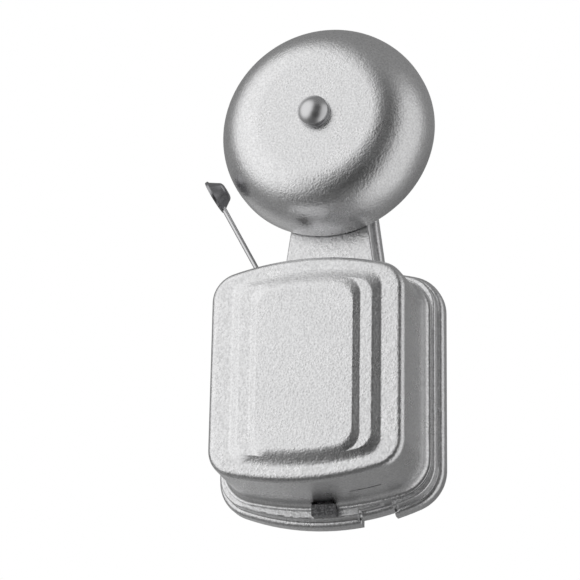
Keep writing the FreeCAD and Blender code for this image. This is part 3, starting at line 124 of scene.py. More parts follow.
class BellCoverSizes(bpy.types.PropertyGroup):
    half_width: length("Half width", "Half the width of the cover's face", 27.4 * MM)
    top: length("Top", "Highest point of the cover's face", 30.9 * MM)
    bottom: length("Bottom", "Lowest point of the cover's face", -32.8 * MM)
    top_bow: length("Top bow", "Rise of the top edge from side to middle", 4.8 * MM)
    bottom_bow: length("Bottom bow", "Drop of the bottom edge from side to middle", 4.5 * MM)
    corner: length("Corner", "Radius of the cover's corners", 8.2 * MM)
    face_depth: length("Face depth", "Depth of the face round the panel", 30.0 * MM)
    sheet: length("Sheet", "Thickness of the cover", 0.8 * MM)
    front_round: length("Front round", "Radius between side and face", 1.9 * MM)
    draft: length("Draft", "How far the side leans out down to the flare", 0.6 * MM)
    flare: length("Flare", "How far the flare spreads beyond the side", 1.75 * MM)
    flare_front: length("Flare front", "Depth at which the flare starts", 11.6 * MM)
    lip_front: length("Lip front", "Depth of the lip's front edge", 8.4 * MM)
    rear: length("Rear", "Depth of the lip's rear edge", 7.6 * MM)
    lip_round: length("Lip round", "Radius that eases the lip's edges", 0.2 * MM)
    panel_lower_step: length("Lower step", "Height of the raised panel's lower step", 1.0 * MM)
    panel_upper_step: length("Upper step", "Height of the raised panel's upper step", 0.8 * MM)
    panel_foot: length("Panel foot", "Half the width at the foot of the lower step", 21.3 * MM)
    panel_terrace: length("Panel terrace", "Half the width at the crest of the lower step", 18.4 * MM)
    panel_riser: length("Panel riser", "Half the width at the foot of the upper step", 15.6 * MM)
    panel_crest: length("Panel crest", "Half the width of the panel's flat top", 13.4 * MM)
    panel_top: length("Panel top", "Highest point of the panel's foot", 27.9 * MM)
    panel_bottom: length("Panel bottom", "Lowest point of the panel's foot", -28.9 * MM)
    panel_top_slope: length("Panel top slope", "Run of the slope at the top", 6.5 * MM)
    panel_bottom_slope: length("Panel bottom slope", "Run of the slope at the bottom", 5.0 * MM)
    panel_corner: length("Panel corner", "Radius of the panel's corners", 5.0 * MM)
    rod_slot_left: length("Rod slot left", "Left side of the hammer rod's slot", -20.4 * MM)
    rod_slot_right: length("Rod slot right", "Right side of the hammer rod's slot", -11.0 * MM)
    rod_slot_depth: length("Rod slot depth", "Depth of the slot's closed end", 16.0 * MM)
    notch_half_width: length("Notch half width", "Half the width of the notch for the catch", 3.45 * MM)
    notch_depth: length("Notch depth", "Depth of the notch's closed end", 10.8 * MM)
    notch_head: length("Notch head", "Height to which the notch is cut", -31.2 * MM)
    lance_left: length("Lance left", "Left end of the slit in the bottom wall", 9.3 * MM)
    lance_length: length("Lance length", "Length of the slit", 8.7 * MM)
    lance_depth: length("Lance depth", "Depth of the slit's front edge", 17.5 * MM)
    lance_width: length("Lance width", "Width of the slit", 0.5 * MM)


class BellPanSizes(bpy.types.PropertyGroup):
    ledge_depth: length("Ledge depth", "Depth of the ledge round the back pan", 3.6 * MM)
    ledge_roll: length("Ledge roll", "Radius that turns the ledge's outer edge back", 1.4 * MM)
    ledge_mesh: length("Ledge mesh", "Longest edge in the mesh of the ledge", 0.4 * MM)


class BellHammerSizes(bpy.types.PropertyGroup):
    rod_radius: length("Rod radius", "Radius of the hammer rod", 0.7 * MM)
    rod_across: length("Rod across", "Place of the rod's upright run", -11.5 * MM)
    rod_depth: length("Rod depth", "Depth of the rod", 13.0 * MM)
    socket_height: length("Socket height", "Height of the rod's foot in the armature", 8.0 * MM)
    bend_height: length("Bend height", "Height of the corner of the rod's bend", 19.8 * MM)
    bend_radius: length("Bend radius", "Radius of the rod's bend", 4.0 * MM)
    lean: angle("Lean", "Lean of the rod above its bend", 28.3)
    reach: length("Reach", "Length from the bend to the middle of the head", 43.7 * MM)
    bite: length("Bite", "How far the rod runs past the middle of the head", 1.5 * MM)
    rod_offset: length("Rod offset", "From the disc's flat face to the rod's line", 1.0 * MM)
    disc_radius: length("Disc radius", "Radius of the head's disc", 5.1 * MM)
    disc: length("Disc", "Thickness of the disc", 0.9 * MM)
    waist_radius: length("Waist radius", "Radius of the cone where it leaves the disc", 4.7 * MM)
    nose_radius: length("Nose radius", "Radius of the nose's flat", 1.6 * MM)
    nose_round: length("Nose round", "Radius of the nose's edge", 1.6 * MM)
    length: length("Length", "Length of the head from disc to nose", 4.3 * MM)


class BellWorksSizes(bpy.types.PropertyGroup):
    winding_radius: length("Winding radius", "Outer radius of each winding", 7.2 * MM)
    winding_turns: IntProperty(name="Turns", description="Turns of wire that show on each coil", default=38, min=4)
    head_round: length("Head round", "Radius that eases a screw head's edge", 0.25 * MM)
    edge_round: length("Edge round", "Radius that eases the edges of the works", 0.15 * MM)
    knurl_ridges: IntProperty(name="Ridges", description="Ridges round the contact screw's head", default=44, min=8)
    knurl_rise: length("Knurl rise", "Height of each ridge", 0.25 * MM)


class BellColours(bpy.types.PropertyGroup):
    plate: colour("Plate", "Satin nickel plate", (0.77, 0.77, 0.775))
    bright_steel: colour("Bright steel", "Polished plated steel", (0.74, 0.74, 0.75))
    dark_steel: colour("Dark steel", "Blackened steel of the hammer head", (0.30, 0.30, 0.31))
    iron: colour("Iron", "Soft iron of the magnet", (0.42, 0.41, 0.40))
    bronze: colour("Bronze", "Spring bronze", (0.66, 0.42, 0.22))
    brass: colour("Brass", "Brass of the contact and terminals", (0.78, 0.60, 0.30))
    silver: colour("Silver", "Silver of the contact button", (0.86, 0.85, 0.82))
    enamel: colour("Enamel", "Enamelled copper wire", (0.46, 0.15, 0.05))
    black_moulding: colour("Black moulding", "Phenolic moulding", (0.022, 0.021, 0.020))
    fibre: colour("Fibre", "Red vulcanised fibre", (0.30, 0.045, 0.030))
    catch: colour("Catch", "Dark pebbled moulding of the catch", (0.085, 0.085, 0.088))
    rubber: colour("Rubber", "Black rubber", (0.018, 0.018, 0.018))
    lead: colour("Lead", "Red insulation of the leads", (0.42, 0.035, 0.030))


class BellStudio(bpy.types.PropertyGroup):
    azimuth: angle("Azimuth", "How far the camera stands to the right of straight ahead", 16.600)
    elevation: angle("Elevation", "How far the camera stands below the level, looking up", 19.554)
    roll: angle("Roll", "Turn of the camera about its own line of sight", 1.0855)
    distance: length("Distance", "From the camera to the point that it looks at", 0.660)
    target: FloatVectorProperty(
        name="Target", description="Point that the camera looks at", default=(-0.004698, -0.030030, 0.021516),
        size=3, subtype="XYZ", unit="LENGTH", precision=5,
    )
    lens: FloatProperty(name="Lens", description="Focal length in millimetres", default=149.863, min=10.0)
    floor_height: length("Floor height", "Height of the studio floor", -0.80)
    surround: FloatProperty(name="Surround", description="Level of the studio's soft light", default=0.55, min=0.0)
    tent_radius: length("Tent radius", "Radius of the grey tent that polished surfaces see", 3.0)


# ------ Nodes ------


class Tone:
    """A number that varies over a surface.  Sums and products of it add Math nodes."""

    def __init__(self, nodes, socket):
        self.nodes, self.socket = nodes, socket

    def _with(self, operation, first, second):
        made = self.nodes.add("ShaderNodeMath", {0: first, 1: second}, operation=operation)
        return Tone(self.nodes, made.outputs[0])

    def __add__(self, other):
        return self._with("ADD", self, other)

    def __radd__(self, other):
        return self._with("ADD", other, self)

    def __rsub__(self, other):
        return self._with("SUBTRACT", other, self)

    def __mul__(self, other):
        return self._with("MULTIPLY", self, other)

    def __rmul__(self, other):
        return self._with("MULTIPLY", other, self)


def lighter(shade, by):
    return tuple(min(1.0, level * by) for level in shade)


class NodeBench:
    """Adds nodes to one tree."""

    def __init__(self, tree):
        self.tree = tree

    def add(self, kind, sockets=None, **settings):
        """A node of a type, with its settings, and with its sockets as values or links by name or number."""
        made = self.tree.nodes.new(kind)
        for name, setting in settings.items():
            if name == "stops":
                ramp = made.color_ramp.elements
                while len(ramp) < len(setting):
                    ramp.new(0.5)
                for stop, (place, level) in zip(ramp, setting):
                    stop.position, stop.color = place, (level, level, level, 1.0)
            else:
                setattr(made, name, setting)
        for name, given in (sockets or {}).items():
            if isinstance(given, Tone):
                self.tree.links.new(given.socket, made.inputs[name])
            elif isinstance(given, bpy.types.NodeSocket):
                self.tree.links.new(given, made.inputs[name])
            else:
                made.inputs[name].default_value = given
        return made


class Finish(NodeBench):
    """One material: a Principled shader and the patterns that feed it."""

    def __init__(self, name, **shader):
        self.material = bpy.data.materials.new(name)
        self.material.use_nodes = True
        super().__init__(self.material.node_tree)
        self.tree.nodes.clear()
        given = {key.replace("_", " ").title().replace("Ior", "IOR"): level for key, level in shader.items()}
        self.shader = self.add("ShaderNodeBsdfPrincipled", given)
        self.add("ShaderNodeOutputMaterial", {"Surface": self.shader.outputs[0]})
        self.place = self.add("ShaderNodeTexCoord").outputs["Object"]

    def stretched(self, across, deep, up):
        """The place on the piece, drawn out by a factor along each axis."""
        sockets = {"Vector": self.place, "Scale": (1 / across, 1 / deep, 1 / up)}
        return self.add("ShaderNodeMapping", sockets, vector_type="POINT").outputs[0]

    def noise(self, size, detail, place=None, seed=0.0):
        """Soft random patches of about a size, from 0 to 1 and mostly near the middle."""
        sockets = {"Vector": place or self.place, "W": seed, "Scale": 1.0 / size, "Detail": detail}
        return Tone(self, self.add("ShaderNodeTexNoise", sockets, noise_dimensions="4D").outputs["Fac"])

    def cells(self, size):
        """Distance from the middle of each of many pebble-like cells."""
        sockets = {"Vector": self.place, "Scale": 1.0 / size}
        return Tone(self, self.add("ShaderNodeTexVoronoi", sockets).outputs["Distance"])

    def shaped(self, tone, *stops):
        """A tone put through a ramp of places and levels."""
        return Tone(self, self.add("ShaderNodeValToRGB", {"Fac": tone}, stops=stops).outputs["Color"])

    def blend(self, share, first, second):
        """One colour going over to another."""
        sockets = {0: share, 6: (*first, 1.0), 7: (*second, 1.0)}
        return self.add("ShaderNodeMix", sockets, data_type="RGBA").outputs[2]

    def give(self, name, given):
        socket = given.socket if isinstance(given, Tone) else given
        self.tree.links.new(socket, self.shader.inputs[name])

    def coat(self, share, shade, first, second, smooth, spread):
        """A shade that goes over from one factor of itself to another by a tone, as the roughness rises."""
        self.give("Base Color", self.blend(share, lighter(shade, first), lighter(shade, second)))
        self.give("Roughness", smooth + spread * share)

    def relief(self, height, depth):
        """Raise the surface by a tone times a depth in metres."""
        sockets = {"Height": height, "Distance": depth, "Strength": 1.0}
        self.give("Normal", self.add("ShaderNodeBump", sockets).outputs[0])


# ------ Finishes ------


def satin_plate(colours):
    """Nickel plate over etched steel: soft highlights broken by a grain of half a millimetre."""
    plate = Finish("satin_plate", metallic=1.0)
    grain = plate.noise(0.55 * MM, 3.0)
    cloud = plate.noise(9 * MM, 3.0, seed=2.0)
    fleck = plate.shaped(grain, (0.34, 0.0), (0.66, 1.0))
    plate.give("Base Color", plate.blend(fleck, lighter(colours.plate, 0.90), lighter(colours.plate, 1.20)))
    plate.give("Roughness", 0.24 + 0.08 * cloud)
    plate.relief(grain + 0.5 * plate.noise(1.6 * MM, 1.0, seed=5.0), 0.10 * MM)
    return plate


def bright_plate(colours):
    """Smooth plated steel with faint draw lines."""
    steel = Finish("bright_plate", metallic=1.0)
    lines = steel.noise(0.2 * MM, 3.0, steel.stretched(1, 1, 14))
    haze = steel.noise(3 * MM, 2.0, seed=3.0)
    steel.coat(haze, colours.bright_steel, 0.9, 1.0, 0.24, 0.10)
    steel.relief(lines, 0.004 * MM)
    return steel


def blackened_steel(colours):
    """Turned steel with a thin black oxide that is rubbed lighter in places."""
    steel = Finish("blackened_steel", metallic=1.0)
    rubbed = steel.noise(1.6 * MM, 4.0)
    steel.coat(rubbed, colours.dark_steel, 1.0, 1.5, 0.24, 0.10)
    steel.relief(steel.noise(0.25 * MM, 2.0, seed=4.0), 0.006 * MM)
    return steel


def soft_iron(colours):
    """Annealed iron with rolling marks and a light bloom."""
    iron = Finish("annealed_iron", metallic=1.0)
    rolled = iron.noise(0.25 * MM, 3.0, iron.stretched(1, 1, 10))
    bloom = iron.shaped(iron.noise(4 * MM, 5.0, seed=6.0), (0.40, 0.0), (0.75, 1.0))
    iron.coat(bloom, colours.iron, 1.0, 0.72, 0.38, 0.22)
    iron.relief(rolled + 0.3 * bloom, 0.008 * MM)
    return iron


def spring_bronze(colours):
    """Rolled bronze strip, browner where it has aged."""
    bronze = Finish("rolled_bronze", metallic=1.0)
    rolled = bronze.noise(0.12 * MM, 3.0, bronze.stretched(1, 1, 16))
    aged = bronze.noise(3 * MM, 4.0, seed=1.0)
    bronze.coat(aged, colours.bronze, 1.0, 0.62, 0.24, 0.18)
    bronze.relief(rolled, 0.003 * MM)
    return bronze


def turned_brass(colours):
    """Machined brass with fine tool marks and dull patches."""
    brass = Finish("machined_brass", metallic=1.0)
    marks = brass.noise(0.15 * MM, 2.0, brass.stretched(1, 8, 1))
    dull = brass.shaped(brass.noise(2.5 * MM, 4.0, seed=8.0), (0.45, 0.0), (0.75, 1.0))
    brass.coat(dull, colours.brass, 1.0, 0.70, 0.22, 0.20)
    brass.relief(marks, 0.004 * MM)
    return brass


def contact_silver(colours):
    """Silver with the grey bloom that a working contact takes."""
    silver = Finish("worked_silver", metallic=1.0)
    bloom = silver.noise(0.7 * MM, 4.0)
    silver.coat(bloom, colours.silver, 1.0, 0.6, 0.20, 0.25)
    silver.relief(bloom, 0.006 * MM)
    return silver


def enamelled_wire(colours):
    """Copper under clear varnish, darker where the varnish has pooled."""
    wire = Finish("enamelled_wire", metallic=0.6, coat_weight=0.7, coat_roughness=0.12)
    pooled = wire.noise(1.8 * MM, 4.0)
    wire.coat(pooled, colours.enamel, 1.0, 0.5, 0.28, 0.14)
    wire.relief(wire.noise(0.2 * MM, 2.0, seed=7.0), 0.004 * MM)
    return wire


def phenolic(colours):
    """Black phenolic moulding, glossy with a faint flow pattern."""
    moulding = Finish("black_phenolic", specular_ior_level=0.5)
    flow = moulding.noise(2.2 * MM, 5.0)
    moulding.coat(flow, colours.black_moulding, 1.0, 2.0, 0.28, 0.16)
    moulding.relief(moulding.noise(0.3 * MM, 2.0, seed=9.0), 0.005 * MM)
    return moulding


def vulcanised_fibre(colours):
    """Pressed red fibre with short matted strands."""
    fibre = Finish("red_fibre_sheet", specular_ior_level=0.35)
    strands = fibre.noise(0.25 * MM, 5.0, fibre.stretched(5, 1, 1))
    fibre.coat(strands, colours.fibre, 0.7, 1.35, 0.58, 0.2)
    fibre.relief(strands, 0.02 * MM)
    return fibre


def pebbled_moulding(colours):
    """Dark moulding with a pebbled grip, worn paler on its crowns."""
    grip = Finish("pebbled_catch", specular_ior_level=0.5)
    pebbles = grip.cells(0.55 * MM)
    crown = grip.shaped(pebbles, (0.15, 1.0), (0.65, 0.0))
    grip.give("Base Color", grip.blend(crown, lighter(colours.catch, 0.6), lighter(colours.catch, 1.9)))
    grip.give("Roughness", 0.46 - 0.12 * crown)
    grip.relief(crown + 0.4 * grip.noise(0.2 * MM, 2.0), 0.07 * MM)
    return grip


def black_rubber(colours):
    """Soft black rubber with a dusty bloom."""
    rubber = Finish("dusty_rubber", specular_ior_level=0.3)
    dust = rubber.noise(1.5 * MM, 5.0)
    rubber.coat(dust, colours.rubber, 1.0, 2.6, 0.62, 0.2)
    rubber.relief(dust, 0.02 * MM)
    return rubber


def lead_insulation(colours):
    """Waxed insulation with a fine braid."""
    sleeve = Finish("waxed_insulation", specular_ior_level=0.45)
    braid = sleeve.cells(0.28 * MM)
    sleeve.coat(braid, colours.lead, 1.0, 0.55, 0.42, 0.2)
    sleeve.relief(1.0 - braid, 0.02 * MM)
    return sleeve


FINISHES = {
    "plated_steel": satin_plate,
    "bright_steel": bright_plate,
    "dark_steel": blackened_steel,
    "soft_iron": soft_iron,
    "spring_bronze": spring_bronze,
    "brass": turned_brass,
    "contact_silver": contact_silver,
    "copper_winding": enamelled_wire,
    "black_moulding": phenolic,
    "red_fibre": vulcanised_fibre,
    "catch_moulding": pebbled_moulding,
    "black_rubber": black_rubber,
    "red_lead": lead_insulation,
}
mixed = {}


def finish_of(node):
    """The material of a node's slot, mixed the first time that it is asked for."""
    slot = SLOT_OF[node]
    if slot not in mixed:
        mixed[slot] = FINISHES[slot](bpy.context.scene.bell_colours).material
    return mixed[slot]


# ------ Meshes ------

FRONTWARD = Matrix.Rotation(math.radians(90), 4, "X")  # local z runs out of the wall
ALONG_X = Matrix.Rotation(math.radians(90), 4, "Y")  # local z runs to the right

SAME_PLACE = 1e-6  # corners of a CAD mesh that are nearer than this are one
SAME_CORNER = 1e-7  # and so are corners of a new skin that are nearer than this
ON_AXIS = 1e-9  # a profile's end that is nearer to the axis than this closes in one corner
FLAT_WITHIN = math.radians(0.2)  # faces of a CAD mesh that turn by less than this are one
SMOOTH_BELOW = 32  # degrees between faces that still shade as one surface
CATCH_EDGE = 0.28 * MM  # round on the catch
SOFT_EDGE = 0.15 * MM  # round on the grommet and the hammer head
FINE_EDGE = 0.1 * MM  # round on small fittings
LEAF_EDGE = 0.04 * MM  # round on thin leaves and contacts


def spaced(start, end, steps):
    return [start + (end - start) * step / steps for step in range(steps + 1)]


def arc(across, along, radius, start, end, steps):
    """Places on an arc between two angles in degrees, as (across, along)."""
    turns = [math.radians(degrees) for degrees in spaced(start, end, steps)]
    return [(across + radius * math.cos(turn), along + radius * math.sin(turn)) for turn in turns]


def skin(corners, faces, place=None):
    """A mesh from corners and faces, its doubles merged and its faces turned outward."""
    shape = bmesh.new()
    made = [shape.verts.new(corner) for corner in corners]
    for face in faces:
        shape.faces.new([made[number] for number in face])
    if place:
        bmesh.ops.transform(shape, matrix=place, verts=shape.verts)
    bmesh.ops.remove_doubles(shape, verts=shape.verts, dist=SAME_CORNER)
    bmesh.ops.recalc_face_normals(shape, faces=shape.faces)
    mesh = bpy.data.meshes.new("skin")
    shape.to_mesh(mesh)
    shape.free()
    return mesh


def turned(profile, place, segments, ring=False):
    """A profile of (radius, along) turned about local z.  A ring's profile closes on itself; the ends of any
    other lie on the axis."""
    corners, rows = [], []
    for radius, along in profile:
        if radius < ON_AXIS:
            rows.append([len(corners)] * segments)
            corners.append((0.0, 0.0, along))
            continue
        rows.append(list(range(len(corners), len(corners) + segments)))
        for step in range(segments):
            turn = 2 * math.pi * step / segments
            corners.append((radius * math.cos(turn), radius * math.sin(turn), along))
    pairs = list(zip(rows, rows[1:])) + ([(rows[-1], rows[0])] if ring else [])
    faces = []
    for low, high in pairs:
        for step in range(segments):
            ahead = (step + 1) % segments
            faces.append(list(dict.fromkeys((low[step], low[ahead], high[ahead], high[step]))))
    return skin(corners, faces, place)


def stacked(loops):
    """A closed skin through loops of equal count, with a flat cap on the first and on the last."""
    count = len(loops[0])
    corners = [corner for loop in loops for corner in loop]
    faces = [list(range(count)), list(range(len(corners) - count, len(corners)))]
    for level in range(len(loops) - 1):
        low, high = level * count, (level + 1) * count
        for step in range(count):
            ahead = (step + 1) % count
            faces.append([low + step, low + ahead, high + ahead, high + step])
    return skin(corners, faces)


def swept(path, radius, sides=20):
    """A round rod along a path of points in one plane y = constant."""
    loops = []
    for number, point in enumerate(path):
        back, ahead = path[max(number - 1, 0)], path[min(number + 1, len(path) - 1)]
        along = (ahead - back).normalized()
        side = Vector((0, 1, 0))
        out = along.cross(side)
        turns = [2 * math.pi * step / sides for step in range(sides)]
        loops.append([point + radius * (math.cos(turn) * side + math.sin(turn) * out) for turn in turns])
    return stacked(loops)


def block(low, high):
    """The corners of a box as a mesh, for cutting."""
    loops = []
    for depth in (low[1], high[1]):
        loops.append([
            (low[0], depth, low[2]), (high[0], depth, low[2]), (high[0], depth, high[2]), (low[0], depth, high[2])
        ])
    return stacked(loops)


def linked(name, data):
    made = bpy.data.objects.new(name, data)
    bpy.context.scene.collection.objects.link(made)
    return made


def settled(draft):
    """Turn an object's live modifiers into its plain mesh."""
    bpy.context.view_layer.update()
    evaluated = draft.evaluated_get(bpy.context.evaluated_depsgraph_get())
    mesh = bpy.data.meshes.new_from_object(evaluated)
    draft.modifiers.clear()
    draft.data = mesh
    return mesh


def cut(draft, *cutters):
    """Take blocks out of an object's mesh."""
    tools = [linked("cutter", cutter) for cutter in cutters]
    for tool in tools:
        saw = draft.modifiers.new("saw", "BOOLEAN")
        saw.operation, saw.solver, saw.object = "DIFFERENCE", "EXACT", tool
    before = len(draft.data.vertices)
    mesh = settled(draft)
    for tool in tools:
        bpy.data.objects.remove(tool)
    if len(mesh.vertices) in (0, before):
        raise RuntimeError(f"{draft.name} could not be cut")


def eased(draft, sharp=SMOOTH_BELOW, edge=0.0):
    """Shade an object smooth up to an angle in degrees, with its edges rounded by a width."""
    for face in draft.data.polygons:
        face.use_smooth = True
    draft.data.set_sharp_from_angle(angle=math.radians(sharp))
    if edge:
        bevel = draft.modifiers.new("edge", "BEVEL")
        bevel.width, bevel.segments, bevel.limit_method = edge, 2, "ANGLE"
        bevel.angle_limit, bevel.use_clamp_overlap = math.radians(sharp), True
    even = draft.modifiers.new("even", "WEIGHTED_NORMAL")
    even.keep_sharp = not edge
    settled(draft)


def dress(draft, node):
    """Give an object the finish of a CAD node and let it stand for that node."""
    draft.data.materials.clear()
    draft.data.materials.append(finish_of(node))
    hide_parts(node)


def show(draft, node):
    """Dress an object as a CAD node and let it ride on that node's body."""
    dress(draft, node)
    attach(draft, BODY_OF[node])


def merged_copy(node):
    """A copy of a CAD node's mesh with its loose triangles joined and its flat faces whole."""
    shape = bmesh.new()
    shape.from_mesh(frame["nodes"][node].data)
    bmesh.ops.remove_doubles(shape, verts=shape.verts, dist=SAME_PLACE)
    bmesh.ops.dissolve_limit(shape, angle_limit=FLAT_WITHIN, verts=shape.verts, edges=shape.edges)
    mesh = bpy.data.meshes.new(f"{node}_copy")
    shape.to_mesh(mesh)
    shape.free()
    return mesh


def soften(node, edge=0.0, sharp=SMOOTH_BELOW):
    """Show a CAD node's own form with smooth curves and eased edges."""
    draft = linked(f"{node}_eased", merged_copy(node))
    eased(draft, sharp, edge)
    show(draft, node)


# ------ Geometry Nodes ------


class NodeTool(NodeBench):
    """A Geometry Nodes tree with named inputs, that ends in real faces with a finish."""

    def __init__(self, name, **inputs):
        super().__init__(bpy.data.node_groups.new(name, "GeometryNodeTree"))
        self.names = {}
        for label, kind in inputs.items():
            socket = self.tree.interface.new_socket(name=label, in_out="INPUT", socket_type=f"NodeSocket{kind}")
            self.names[label] = socket.identifier
        self.tree.interface.new_socket(name="Geometry", in_out="OUTPUT", socket_type="NodeSocketGeometry")
        self.given = self.add("NodeGroupInput").outputs

    def close(self, geometry):
        real = self.add("GeometryNodeRealizeInstances", {0: geometry})
        sockets = {"Geometry": real.outputs[0], "Material": self.given["finish"]}
        coated = self.add("GeometryNodeSetMaterial", sockets)
        self.add("NodeGroupOutput", {0: coated.outputs[0]})
        return self

    def make(self, name, **settings):
        """A plain mesh object made by the tree from these settings."""
        draft = linked(name, bpy.data.meshes.new(name))
        modifier = draft.modifiers.new("make", "NODES")
        modifier.node_group = self.tree
        for label, setting in settings.items():
            modifier[self.names[label]] = setting
        settled(draft)
        if not draft.data.vertices:
            raise RuntimeError(f"{name} came out empty")
        return draft


def winding_tool():
    """Wire wound in one layer about X over a closed sleeve."""
    tool = NodeTool(
        "coil_winding", left="Vector", width="Float", turns="Float", radius="Float", wire="Float", finish="Material"
    )
    given = tool.given
    half_way = tool.add("ShaderNodeMath", {0: given["width"], 1: 0.5}, operation="MULTIPLY")
    line = tool.add("ShaderNodeMath", {0: given["radius"], 1: given["wire"]}, operation="SUBTRACT")
    spiral = tool.add("GeometryNodeCurveSpiral", {
        "Resolution": 40, "Rotations": given["turns"], "Start Radius": line.outputs[0],
        "End Radius": line.outputs[0], "Height": given["width"],
    })
    ring = tool.add("GeometryNodeCurvePrimitiveCircle", {"Resolution": 8, "Radius": given["wire"]})
    wire = tool.add("GeometryNodeCurveToMesh", {"Curve": spiral.outputs[0], "Profile Curve": ring.outputs[0]})
    smooth = tool.add("GeometryNodeSetShadeSmooth", {0: wire.outputs[0]})
    sleeve = tool.add("GeometryNodeMeshCylinder", {
        "Vertices": 64, "Radius": line.outputs[0], "Depth": given["width"],
    })
    lift = tool.add("ShaderNodeCombineXYZ", {"Z": half_way.outputs[0]})
    raised = tool.add("GeometryNodeTransform", {0: sleeve.outputs[0], "Translation": lift.outputs[0]})
    both = tool.add("GeometryNodeJoinGeometry")
    for part in (raised, smooth):
        tool.tree.links.new(part.outputs[0], both.inputs[0])
    laid = tool.add("GeometryNodeTransform", {
        0: both.outputs[0], "Translation": given["left"], "Rotation": (0.0, math.radians(90), 0.0),
    })
    return tool.close(laid.outputs[0])


def row_tool():
    """Copies of one fastener in a straight row."""
    tool = NodeTool(
        "fastener_row", fastener="Object", count="Int", first="Vector", step="Vector", finish="Material"
    )
    line = tool.add("GeometryNodeMeshLine", {
        "Count": tool.given["count"], "Start Location": tool.given["first"], "Offset": tool.given["step"],
    }, mode="OFFSET")
    source = tool.add("GeometryNodeObjectInfo", {"Object": tool.given["fastener"]})
    copies = tool.add("GeometryNodeInstanceOnPoints", {
        "Points": line.outputs[0], "Instance": source.outputs["Geometry"],
    })
    return tool.close(copies.outputs[0])


def ridge_tool():
    """Ridges set round a rim about X, each a thin wedge that points outward."""
    tool = NodeTool(
        "knurled_rim", middle="Vector", ridges="Int", radius="Float", rise="Float", width="Float", finish="Material"
    )
    given = tool.given
    rim = tool.add("GeometryNodeMeshCircle", {"Vertices": given["ridges"], "Radius": given["radius"]})
    wedge = tool.add("GeometryNodeMeshCone", {
        "Vertices": 4, "Radius Top": given["rise"], "Radius Bottom": given["rise"], "Depth": given["width"],
    }, fill_type="NGON")
    place = tool.add("GeometryNodeInputPosition")
    facing = tool.add("FunctionNodeAlignRotationToVector", {"Vector": place.outputs[0]}, axis="X")
    ridges = tool.add("GeometryNodeInstanceOnPoints", {
        "Points": rim.outputs[0], "Instance": wedge.outputs[0], "Rotation": facing.outputs[0],
    })
    laid = tool.add("GeometryNodeTransform", {
        0: ridges.outputs[0], "Translation": given["middle"], "Rotation": (0.0, math.radians(90), 0.0),
    })
    return tool.close(laid.outputs[0])


# ------ Gong ------


def gong_profile(sizes):
    """Half the gong's section as (radius, depth), from the hole over the face and skirt and back inside."""
    bend, foot = sizes.radius - sizes.shoulder, sizes.face_depth - sizes.shoulder
    inner, ease = sizes.shoulder - sizes.sheet, sizes.rim_round
    profile = [(radius, sizes.face_depth) for radius in spaced(sizes.hole_radius, bend, 8)]
    profile += arc(bend, foot, sizes.shoulder, 90, 0, 40)[1:]
    profile += [(sizes.radius, depth) for depth in spaced(foot, sizes.rim_depth + ease, 4)][1:]
    profile += arc(sizes.radius - ease, sizes.rim_depth + ease, ease, 0, -90, 6)[1:]
    profile += [(sizes.radius - sizes.sheet, sizes.rim_depth)]
    profile += arc(bend, foot, inner, 0, 90, 32)
    profile += [(sizes.hole_radius, sizes.face_depth - sizes.sheet)]
    return profile


def nut_profile(sizes):
    """Half the domed nut's section, bored from behind."""
    shoulder = sizes.nut_seat + sizes.nut_side
    rise = sizes.nut_crown - shoulder
    ball = (sizes.nut_radius**2 + rise**2) / (2 * rise)
    sweep = math.degrees(math.asin(sizes.nut_radius / ball))
    ease = 0.25 * MM
    profile = arc(0.0, sizes.nut_crown - ball, ball, 90, 90 - sweep, 24)
    profile[0] = (0.0, sizes.nut_crown)
    profile += [(sizes.nut_radius, sizes.nut_seat + ease), (sizes.nut_radius - ease, sizes.nut_seat)]
    bored = sizes.nut_seat + sizes.nut_bore
    profile += [(sizes.hole_radius, sizes.nut_seat), (sizes.hole_radius, bored), (0.0, bored)]
    return profile


def gong_place(sizes):
    """Sets a form turned about local z on the gong's axis, with its local z 0 at the wall."""
    return Matrix.Translation((0, 0, sizes.centre_height)) @ FRONTWARD


class BELL_OT_make_gong(bpy.types.Operator):
    """Turn the gong from its section"""

    bl_idname = "bell.make_gong"
    bl_label = "Make gong"

    def execute(self, context):
        sizes = context.scene.bell_gong
        draft = linked("gong_bowl", turned(gong_profile(sizes), gong_place(sizes), 192, ring=True))
        eased(draft, sharp=40)
        show(draft, "gong")
        return {"FINISHED"}


class BELL_OT_make_gong_fixings(bpy.types.Operator):
    """Turn the domed nut and ease the post and its washers"""

    bl_idname = "bell.make_gong_fixings"
    bl_label = "Make gong fixings"

    def execute(self, context):
        sizes = context.scene.bell_gong
        draft = linked("domed_nut", turned(nut_profile(sizes), gong_place(sizes), 96))
        eased(draft, sharp=38)
        show(draft, "gong_nut")
        for node in ("gong_nut_washer", "gong_seat_washer", "gong_post"):
            soften(node, FINE_EDGE)
        return {"FINISHED"}


# ------ Cover ------


FACE_HOLD = 0.4 * MM  # from the front round in to a loop that keeps the face flat
LIP_THINNING = 0.45 * MM  # how much narrower than the middle of the flare the mouth is
LIP_SPREAD = 0.875 * MM  # how far the lining spreads from the flare to the lip
LINING_CHAMFER = 0.3 * MM  # eases the corner between the lining and the inner face
STEP_EASE = 0.25  # share of a panel step over which its climb starts or ends


def bowed_end(half_width, edge, bow, corner, grow):
    """The lower end of an outline, from its left side round to its right, as (across, up)."""
    bow_radius = (half_width**2 + bow**2) / (2 * bow)
    wide, turn, reach = half_width + grow, corner + grow, bow_radius + grow
    middle = edge + bow_radius
    corner_up = middle - math.sqrt((reach - turn) ** 2 - (wide - turn) ** 2)
    sweep = math.degrees(math.asin((wide - turn) / (reach - turn)))
    places = arc(turn - wide, corner_up, turn, 180, 270 - sweep, 16)
    places += arc(0.0, middle, reach, 270 - sweep, 270 + sweep, 40)[1:]
    return places + arc(wide - turn, corner_up, turn, 270 + sweep, 360, 16)[1:]


